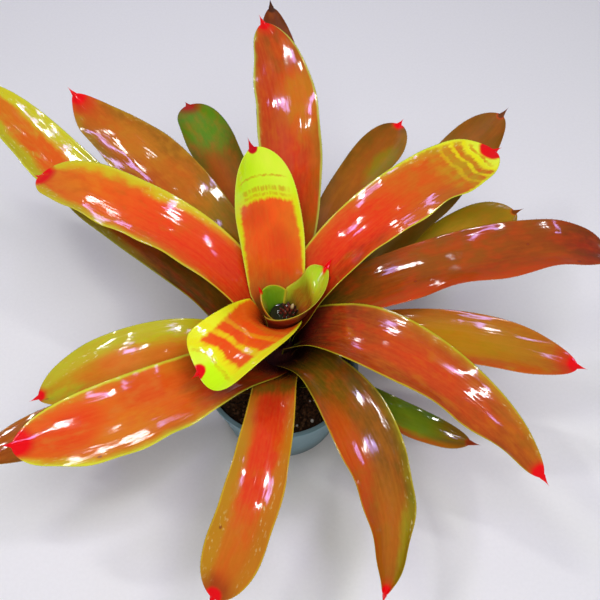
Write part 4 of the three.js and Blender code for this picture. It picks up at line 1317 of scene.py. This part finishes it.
def pot_paint():
    """Pale blue-grey plastic: a soft sheen, faint rings from the mould, dust low down and a few scuffs."""
    finish = Finish("pot_plastic")
    place = finish.place()
    height = finish.parts(place)[2]
    clouds = finish.noise(place, 22, 4)
    rings = finish.noise(place, (6, 6, 900), 2)
    scuffs = finish.noise(place, (60, 60, 420), 5, (4, 2, 9), 0.6)
    grain = finish.noise(place, 2600, 2)
    colour = finish.mix(clouds, (116, 150, 160), (142, 176, 184))
    colour = finish.mix(finish.rise(scuffs, 0.62, 0.72) * 0.5, colour, (178, 202, 206))
    dust = finish.rise(height, 0.03, 0.0) * finish.rise(clouds, 0.35, 0.7)
    return finish.surface({
        "Base Color": finish.mix(dust * 0.55, colour, (110, 96, 80)),
        "Roughness": 0.42 + scuffs * 0.2,
        "Normal": finish.bump(rings * 0.5 + grain * 0.3 + scuffs * 0.2, 0.0002),
        "Specular IOR Level": 0.4,
    })


pot = turned("pot_shell", pot_profile(), POT_SEGMENTS)
cut(pot, drain_cutter())
pot.data.materials.append(pot_paint())
dress(pot, "pot")
print("pot:", len(pot.data.polygons), "faces")

# %% [markdown]
# ## The potting mix
#
# Orchid bark: dark chips in damp crumbs, with white grains of perlite. The bed is a turned surface with
# lumps. The chips and grains are loose pieces laid on it, each only a few faces, with their sizes and turns
# drawn from a seeded random row.

# %% Mix bed
MIX_TOP = 77
MIX_SEGMENTS = 180
ROOTSTOCK_FOOT = 60
GAP = 0.35


def mix_edge(height):
    """The mix's radius at a height, a little inside the pot's wall."""
    return wall_radius(height) - POT_WALL - GAP - 0.4


def stem_radius(height):
    """The stem's radius at a height: a cone down to the mix, then straight."""
    return STEM_TOP_RADIUS + np.clip(STEM_TOP - height, 0, STEM_TOP - MIX_TOP) / SEAT_STEP * SEAT_FLARE


def bed_height(x, y):
    """The top of the mix over a place: two sizes of lumps."""
    return MIX_TOP + 0.6 + 1.1 * waves(x, y, 26, 3) + 0.7 * waves(x, y, 8, 4)


def mix_bed():
    """The mix as a closed turned body with a lumpy top and the hole that the stem stands in."""
    foot = FLOOR_LIFT + FLOOR_THICKNESS + GAP
    hole = stem_radius(MIX_TOP) + GAP
    edge = mix_edge(MIX_TOP)
    profile = [(0, foot), (mix_edge(foot), foot), (edge, MIX_TOP - 1.5)]
    profile += [(radius, MIX_TOP) for radius in np.linspace(edge - 0.4, hole + 0.5, 46)]
    profile += [(hole, MIX_TOP - 2), (hole, ROOTSTOCK_FOOT - GAP), (0, ROOTSTOCK_FOOT - GAP)]

    def lumps(radius, azimuth, height):
        """Only the flat top is lifted."""
        on_top = (height == MIX_TOP) & (radius < edge - 0.2)
        rise = bed_height(radius * np.cos(azimuth), radius * np.sin(azimuth)) - MIX_TOP
        return around(0, azimuth, np.where(on_top, rise, 0))

    return turned("mix_bed", profile, MIX_SEGMENTS, lumps)


print("mix:", round(mix_edge(MIX_TOP)), "mm to its edge,", round(stem_radius(MIX_TOP)), "mm to the stem")

# %% Chips and grains
CHIP_CORNERS = 8
CHIP_THICKNESS = (0.8, 2.4)
CHIP_LIFT = (-0.2, 1.4)
COARSE_CHIPS = dict(count=260, seed=11, size=(7, 15))
SMALL_CHIPS = dict(count=900, seed=12, size=(2.5, 6))
GRAIN_RINGS = 4
GRAIN_SEGMENTS = 8
GRAIN_RADIUS = (0.9, 2.1)
GRAIN_LIFT = (0.3, 1.8)
GRAINS = dict(count=110, seed=13)


def turned_each(points, random, tilt):
    """Each small piece of an (n, k, 3) array turned about z by any angle, then tilted a little."""
    count = len(points)
    spin = random.uniform(0, 2 * math.pi, count)
    tip_x, tip_y = random.normal(0, tilt, (2, count))
    for first, second, angle in ((0, 1, spin), (1, 2, tip_x), (2, 0, tip_y)):
        cosine, sine = np.cos(angle)[:, None], np.sin(angle)[:, None]
        a, b = points[..., first].copy(), points[..., second].copy()
        points[..., first] = a * cosine - b * sine
        points[..., second] = a * sine + b * cosine
    return points


def scattered(points, random, margin, lift):
    """Small pieces laid on the bed, evenly over it but for a margin, each lifted by its own share of lift."""
    count = len(points)
    azimuth = random.uniform(0, 2 * math.pi, count)
    inner, outer = stem_radius(MIX_TOP) + margin, mix_edge(MIX_TOP) - margin
    place = around(np.sqrt(random.uniform(inner**2, outer**2, count)), azimuth, 0)
    place[:, 2] = bed_height(place[:, 0], place[:, 1]) + random.uniform(*lift, count)
    return points + place[:, None]


def bark_chips(name, count, seed, size):
    """Flat chips: an eight-cornered outline with uneven radii, drawn out into a slab with a smaller top."""
    random = np.random.default_rng(seed)
    radius = random.uniform(0.65, 1.1, (count, CHIP_CORNERS)) * random.uniform(*size, (count, 1)) / 2
    stretch = random.uniform(0.45, 0.9, (count, 1))
    foot = around(radius, turns(CHIP_CORNERS), -random.uniform(*CHIP_THICKNESS, (count, 1)) / 2)
    foot[..., 1] *= stretch
    top = foot * [0.82, 0.82, -1]
    top[..., 2] += random.normal(0, 0.2, radius.shape)
    chips = turned_each(np.concatenate([foot, top], axis=1), random, 0.3)
    chips = scattered(chips, random, size[1] / 2 + 1, CHIP_LIFT)
    return link_copies(name, chips, bar_faces(CHIP_CORNERS), soft=False)


def perlite_grains(count, seed):
    """White grains: small balls of a few rings between two poles, each point pushed in or out at random."""
    random = np.random.default_rng(seed)
    tilt = np.linspace(-1, 1, GRAIN_RINGS + 2)[1:-1, None] * math.pi / 2
    rings = around(np.cos(tilt), turns(GRAIN_SEGMENTS), np.sin(tilt)).reshape(-1, 3)
    ball = np.concatenate([[[0, 0, -1]], rings, [[0, 0, 1]]])
    grains = ball * random.uniform(0.75, 1.15, (count, len(ball), 1))
    grains = grains * random.uniform(*GRAIN_RADIUS, (count, 1, 1))
    grains = scattered(turned_each(grains, random, 0.5), random, 4, GRAIN_LIFT)
    return link_copies("perlite_grains", grains, ringed_faces(GRAIN_RINGS, GRAIN_SEGMENTS))


print("a chip has", len(bar_faces(CHIP_CORNERS)), "faces")
print("a grain has", len(ringed_faces(GRAIN_RINGS, GRAIN_SEGMENTS)), "faces")


# %% Mix paint and pieces
def bark_paint(name, dark, light):
    """Damp bark: dark brown crumbs with lighter worn fibres, and darker patches."""
    finish = Finish(name)
    place = finish.place()
    crumbs = finish.noise(place, 420, 6)
    fibres = finish.noise(place, (1500, 300, 700), 3)
    colour = finish.mix(finish.rise(crumbs + fibres * 0.3, 0.45, 0.85), dark, light)
    return finish.surface({
        "Base Color": finish.mix(finish.rise(finish.noise(place, 90, 2), 0.5, 0.8) * 0.5, colour, dark),
        "Roughness": 0.62 + crumbs * 0.3,
        "Normal": finish.bump(crumbs + fibres * 0.4, 0.0012),
    })


def perlite_paint():
    """Chalky white with brown stains from the bark, and fine pits."""
    finish = Finish("perlite")
    place = finish.place()
    pits = finish.noise(place, 1800, 3)
    stain = finish.rise(finish.noise(place, 300, 2), 0.45, 0.7)
    return finish.surface({
        "Base Color": finish.mix(stain, (226, 222, 210), (150, 132, 106)),
        "Roughness": 0.8 + pits * 0.1,
        "Normal": finish.bump(pits, 0.0004),
    })


bed = mix_bed()
bed.data.materials.append(bark_paint("mix_crumbs", (22, 15, 10), (70, 48, 32)))
dress(bed, "potting_mix")
coarse_chips = bark_chips("coarse_chips", **COARSE_CHIPS)
coarse_chips.data.materials.append(bark_paint("coarse_chips_bark", (34, 20, 12), (96, 64, 40)))
small_chips = bark_chips("small_chips", **SMALL_CHIPS)
small_chips.data.materials.append(bark_paint("small_chips_bark", (26, 17, 11), (120, 88, 60)))
grains = perlite_grains(**GRAINS)
grains.data.materials.append(perlite_paint())
for loose in (coarse_chips, small_chips, grains):
    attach(loose, "root")
print("mix:", sum(len(piece.data.polygons) for piece in (bed, coarse_chips, small_chips, grains)), "faces")

# %% [markdown]
# ## Stem, water and flower head
#
# The stem is hidden but for its foot. The water fills the innermost cup, dark and mirror-smooth, and turns
# up a little at its edge. The flower head sits low in it: a cushion of pointed buds between thin bracts.

# %% Stem
STEM_RINGS = 8
STEM_RING_DEPTH = 0.7
STEM_SEGMENTS = 120
WATER_TOP = 180
WATER_FOOT = 161


def stem_piece():
    """A ringed cone with a fibrous surface."""
    heights = np.linspace(ROOTSTOCK_FOOT, STEM_TOP, 90)
    turn = (heights - ROOTSTOCK_FOOT) / (STEM_TOP - ROOTSTOCK_FOOT) * STEM_RINGS * math.pi
    profile = [(0, ROOTSTOCK_FOOT)]
    profile += list(zip(stem_radius(heights) - STEM_RING_DEPTH / 2 * (1 - np.cos(turn)), heights))
    profile += [(STEM_TOP_RADIUS - 2, WATER_FOOT - GAP - 3), (0, WATER_FOOT - GAP - 2)]

    def fibres(radius, azimuth, height):
        """Fine upright furrows below the top."""
        furrow = -0.25 * (1 + waves(azimuth * 14, height * 0.15, 1.4, 8)) * (radius > STEM_TOP_RADIUS)
        return around(furrow, azimuth, 0)

    return turned("stem", profile, STEM_SEGMENTS, fibres)


def stem_paint():
    """Brown fibres with purple-black patches, all darkened in part as painted shade under the leaves."""
    finish = Finish("stem_fibres")
    place = finish.place()
    fibres = finish.noise(place, (700, 700, 60), 4)
    patches = finish.rise(finish.noise(place, 60, 2), 0.4, 0.7)
    return finish.surface({
        # Dark purple-brown: partly the stem's own colour, partly painted shade of the hollow under the
        # leaves.
        "Base Color": finish.mix(patches * 0.7, finish.mix(fibres, (30, 10, 14), (84, 40, 38)), (40, 10, 22)),
        "Roughness": 0.75,
        "Normal": finish.bump(fibres, 0.0008),
    })


stem = stem_piece()
stem.data.materials.append(stem_paint())
dress(stem, "rootstock")
print("stem:", len(stem.data.polygons), "faces")

# %% Water
WATER_RADIUS = (7.2, 10.5)  # at its foot and its top
WATER_CLIMB = 1.0
WATER_SEGMENTS = 96


def crown_shift(height):
    """How far the middle of the crown stands off the axis at a height."""
    rise = np.maximum(height - STEM_TOP, 0)
    return np.stack([CUP_LEAN[0] * rise, CUP_LEAN[1] * rise, np.zeros_like(rise)], -1)


def water_piece():
    """A leaning column whose flat top turns up at its edge."""
    low, high = WATER_RADIUS
    profile = [(0, WATER_FOOT), (low, WATER_FOOT), (high, WATER_TOP + WATER_CLIMB)]
    for share in np.linspace(1, 0, 24)[:-1]:
        profile.append((high * share - 0.05, WATER_TOP + WATER_CLIMB * share**6))
    profile.append((0, WATER_TOP))

    def lean(radius, azimuth, height):
        """The crown's shift, the same all over the top."""
        return crown_shift(np.minimum(height, WATER_TOP))

    return turned("cup_water", profile, WATER_SEGMENTS, lean)


def water_paint():
    """Dark and a little murky, almost smooth."""
    finish = Finish("cup_water")
    place = finish.place()
    return finish.surface({
        "Base Color": finish.mix(finish.noise(place, 160, 3), (10, 14, 8), (44, 44, 18)),
        "Roughness": 0.03,
        "IOR": 1.33,
        "Specular IOR Level": 0.9,
        "Normal": finish.bump(finish.noise(place, 240, 1, (3, 3, 3)), 0.0003),
    })


water = water_piece()
water.data.materials.append(water_paint())
dress(water, "tank_water")
print("water:", len(water.data.polygons), "faces")

# %% Buds
FLOWER_PLACE = np.array([8, 5.5])
FLOWER_STALK_RADIUS = 3
BUD_RADIUS = 1.7
BUD_LENGTH = 5.5
BUD_RINGS = 20
BUD_SEGMENTS = 20
FLOWER_SEED = 21
BUD_CIRCLES = ((1, 0, 0, 1.6), (6, 2.9, 0.25, 0.9), (9, 5.2, 0.5, -0.3))  # count, radius, lean, lift
PALE_BUD_OFFSET = (3.4, 2.4)


def bud_points(length, radius, pinch):
    """A pointed bud along z: a round body whose radius falls faster near the tip. End, rings and end."""
    share = np.linspace(0, 1, BUD_RINGS + 2)[1:-1, None]
    swell = np.sin(math.pi * share**0.8) ** 0.75 * (1 - pinch * share**2)
    ridges = 1 + 0.05 * np.cos(3 * turns(BUD_SEGMENTS))
    rings = around(radius * swell * ridges, turns(BUD_SEGMENTS), share * length)
    return np.concatenate([[[0, 0, 0]], rings.reshape(-1, 3), [[0, 0, length]]])


def laid(points, lean, azimuth, place):
    """Points tipped outwards by lean, turned to azimuth and moved to place."""
    x, y, z = np.moveaxis(points, -1, 0)
    x, z = x * math.cos(lean) + z * math.sin(lean), z * math.cos(lean) - x * math.sin(lean)
    x, y = x * math.cos(azimuth) - y * math.sin(azimuth), x * math.sin(azimuth) + y * math.cos(azimuth)
    return np.stack([x, y, z], -1) + place


def clustered(name, members):
    """Many buds as one mesh."""
    return link_copies(name, np.stack(members), ringed_faces(BUD_RINGS, BUD_SEGMENTS))


def stalk_points():
    """The stalk that carries the buds up through the water, from the middle of the cup's foot."""
    stalk = bud_points(WATER_TOP + 1 - WATER_FOOT, FLOWER_STALK_RADIUS * 0.8, 0.1)
    foot = crown_shift(np.array(WATER_FOOT))[:2]
    stalk[:, :2] += foot + (FLOWER_PLACE - foot) * np.clip(stalk[:, 2:] / (WATER_TOP - WATER_FOOT), 0, 1)
    return stalk + [0, 0, WATER_FOOT]


def flower_pieces():
    """The buds in two rings round a middle one, and narrower bracts between them."""
    random = np.random.default_rng(FLOWER_SEED)
    buds, bracts = [], []
    middle = np.array([*FLOWER_PLACE, WATER_TOP - 1.8])
    for count, ring, lean, lift in BUD_CIRCLES:
        for k in range(count):
            azimuth = (k + random.uniform(-0.15, 0.15)) / count * 2 * math.pi
            size = random.uniform(0.85, 1.05)
            place = middle + around(ring, azimuth, lift)
            buds.append(laid(bud_points(BUD_LENGTH * size, BUD_RADIUS * size, 0.35), lean, azimuth, place))
            bract = bud_points(BUD_LENGTH * 0.9, BUD_RADIUS * 1.1, 0.8) * [0.35, 1, 1]
            bracts.append(laid(bract, lean + 0.25, azimuth, place + around(1.5, azimuth, -0.6)))
    return clustered("flower_buds", buds), clustered("flower_bracts", [*bracts, stalk_points()])


def pale_bud_piece():
    """The next flower to open: one longer cream bud among the brown ones."""
    place = [*(FLOWER_PLACE + PALE_BUD_OFFSET), WATER_TOP - 1]
    bud = bud_points(BUD_LENGTH * 1.5, BUD_RADIUS * 1.05, 0.3)
    return clustered("pale_bud", [laid(bud, 0.25, 0.6, place)])


def bud_paint(name, low, high):
    """Waxy, paler to the tip, with fine lengthwise lines."""
    finish = Finish(name)
    place = finish.place()
    height = finish.parts(place)[2]
    lines = finish.noise(place, (1600, 1600, 200), 3)
    climb = finish.rise(height + (lines - 0.5) * 0.004, WATER_TOP * MM, (WATER_TOP + 9) * MM)
    return finish.surface({
        "Base Color": finish.mix(climb, low, high),
        "Roughness": 0.32 + lines * 0.15,
        "Normal": finish.bump(lines, 0.0002),
        "Specular IOR Level": 0.5,
    })


buds, bracts = flower_pieces()
pale_bud = pale_bud_piece()
pale_bud.data.materials.append(bud_paint("cream_wax", (150, 130, 70), (238, 214, 160)))
buds.data.materials.append(bud_paint("buds_wax", (78, 24, 18), (146, 66, 40)))
bracts.data.materials.append(bud_paint("bracts_wax", (40, 20, 12), (96, 40, 26)))
dress(buds, "flower_head")
for loose in (pale_bud, bracts):
    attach(loose, "root")
print("flower head:", sum(len(piece.data.polygons) for piece in (buds, bracts, pale_bud)), "faces")

# %% [markdown]
# ## Floor and light
#
# A pale floor, and soft light from above. Glossy leaves mirror whatever shines on them, so the lights are
# panels like window panes, some white and some lavender: their reflections are the patches that tell the
# eye how the blades bend. A thin pane puts the glint on the cup's water. One broad panel isn't mirrored: it
# only fills the shade.

# %% Floor
FLOOR_EDGE = 6000


def add_floor():
    """A pale sheet under the pot, wide enough to fill the view."""
    corners = [[x * FLOOR_EDGE, y * FLOOR_EDGE, 0] for x, y in ((-1, -1), (1, -1), (1, 1), (-1, 1))]
    floor = link_mesh("floor", corners, [[0, 1, 2, 3]])
    finish = Finish("floor_paper")
    fibre = finish.noise(finish.place(), 300, 4)
    colour = finish.mix(fibre, (238, 238, 236), (246, 246, 244))
    floor.data.materials.append(finish.surface({"Base Color": colour, "Roughness": 0.9}))
    return floor


print("floor:", add_floor().name)

# %% Lights
WHITE = (1, 1, 1)
LAVENDER = (0.52, 0.42, 1)
LAVENDER_DIFFUSE = 0.25  # the lavender panels show in the gloss and hardly tint the flesh
PANEL_AIM = (0, 0, 0.15)
PANELS = [  # place in metres, width, depth, power, colour
    ((0.38, -0.22, 1.6), 0.26, 0.12, 1.3, LAVENDER),
    ((0.57, -0.16, 1.6), 0.05, 0.20, 2.4, WHITE),
    ((-0.40, 0.10, 1.6), 0.05, 0.22, 2.4, WHITE),
    ((-0.60, 0.02, 1.6), 0.22, 0.15, 1.5, LAVENDER),
    ((-0.66, -0.33, 1.6), 0.20, 0.06, 2.4, WHITE),
    ((-0.45, 1.30, 1.10), 0.12, 0.20, 1.4, WHITE),
    ((-0.20, 1.60, 0.88), 0.34, 0.16, 1.5, LAVENDER),
    ((1.12, 0.05, 1.6), 0.10, 0.25, 1.0, LAVENDER),
    ((-0.03, 0.87, 1.6), 0.05, 0.012, 0.12, WHITE),
]
FILL = ((0.2, -0.9, 2.4), 1.6, 1.6, 38, WHITE)
SURROUND = (0.9, 0.95, 1, 1)
SURROUND_STRENGTH = 0.1


def add_panel(name, place, width, depth, power, colour, mirrored=True):
    """A soft panel that looks at the middle of the plant."""
    light = bpy.data.lights.new(name, "AREA")
    light.shape = "RECTANGLE"
    light.size = width
    light.size_y = depth
    light.energy = power
    light.color = colour
    light.diffuse_factor = LAVENDER_DIFFUSE if colour == LAVENDER else 1
    panel = bpy.data.objects.new(name, light)
    panel.location = place
    panel.visible_glossy = mirrored
    away = np.subtract(place, PANEL_AIM)
    tilt = math.atan2(math.hypot(away[0], away[1]), away[2])
    panel.rotation_euler = (tilt, 0, math.atan2(away[0], -away[1]))
    bpy.context.scene.collection.objects.link(panel)


def add_world():
    """An even pale surround."""
    world = bpy.data.worlds.new("surround")
    world.use_nodes = True
    background = world.node_tree.nodes["Background"]
    background.inputs[0].default_value = SURROUND
    background.inputs[1].default_value = SURROUND_STRENGTH
    bpy.context.scene.world = world


for k, panel in enumerate(PANELS, 1):
    add_panel(f"panel_{k}", *panel)
add_panel("fill", *FILL, mirrored=False)
add_world()
bpy.context.scene.view_settings.view_transform = "Standard"
print("lights:", len(PANELS) + 1)
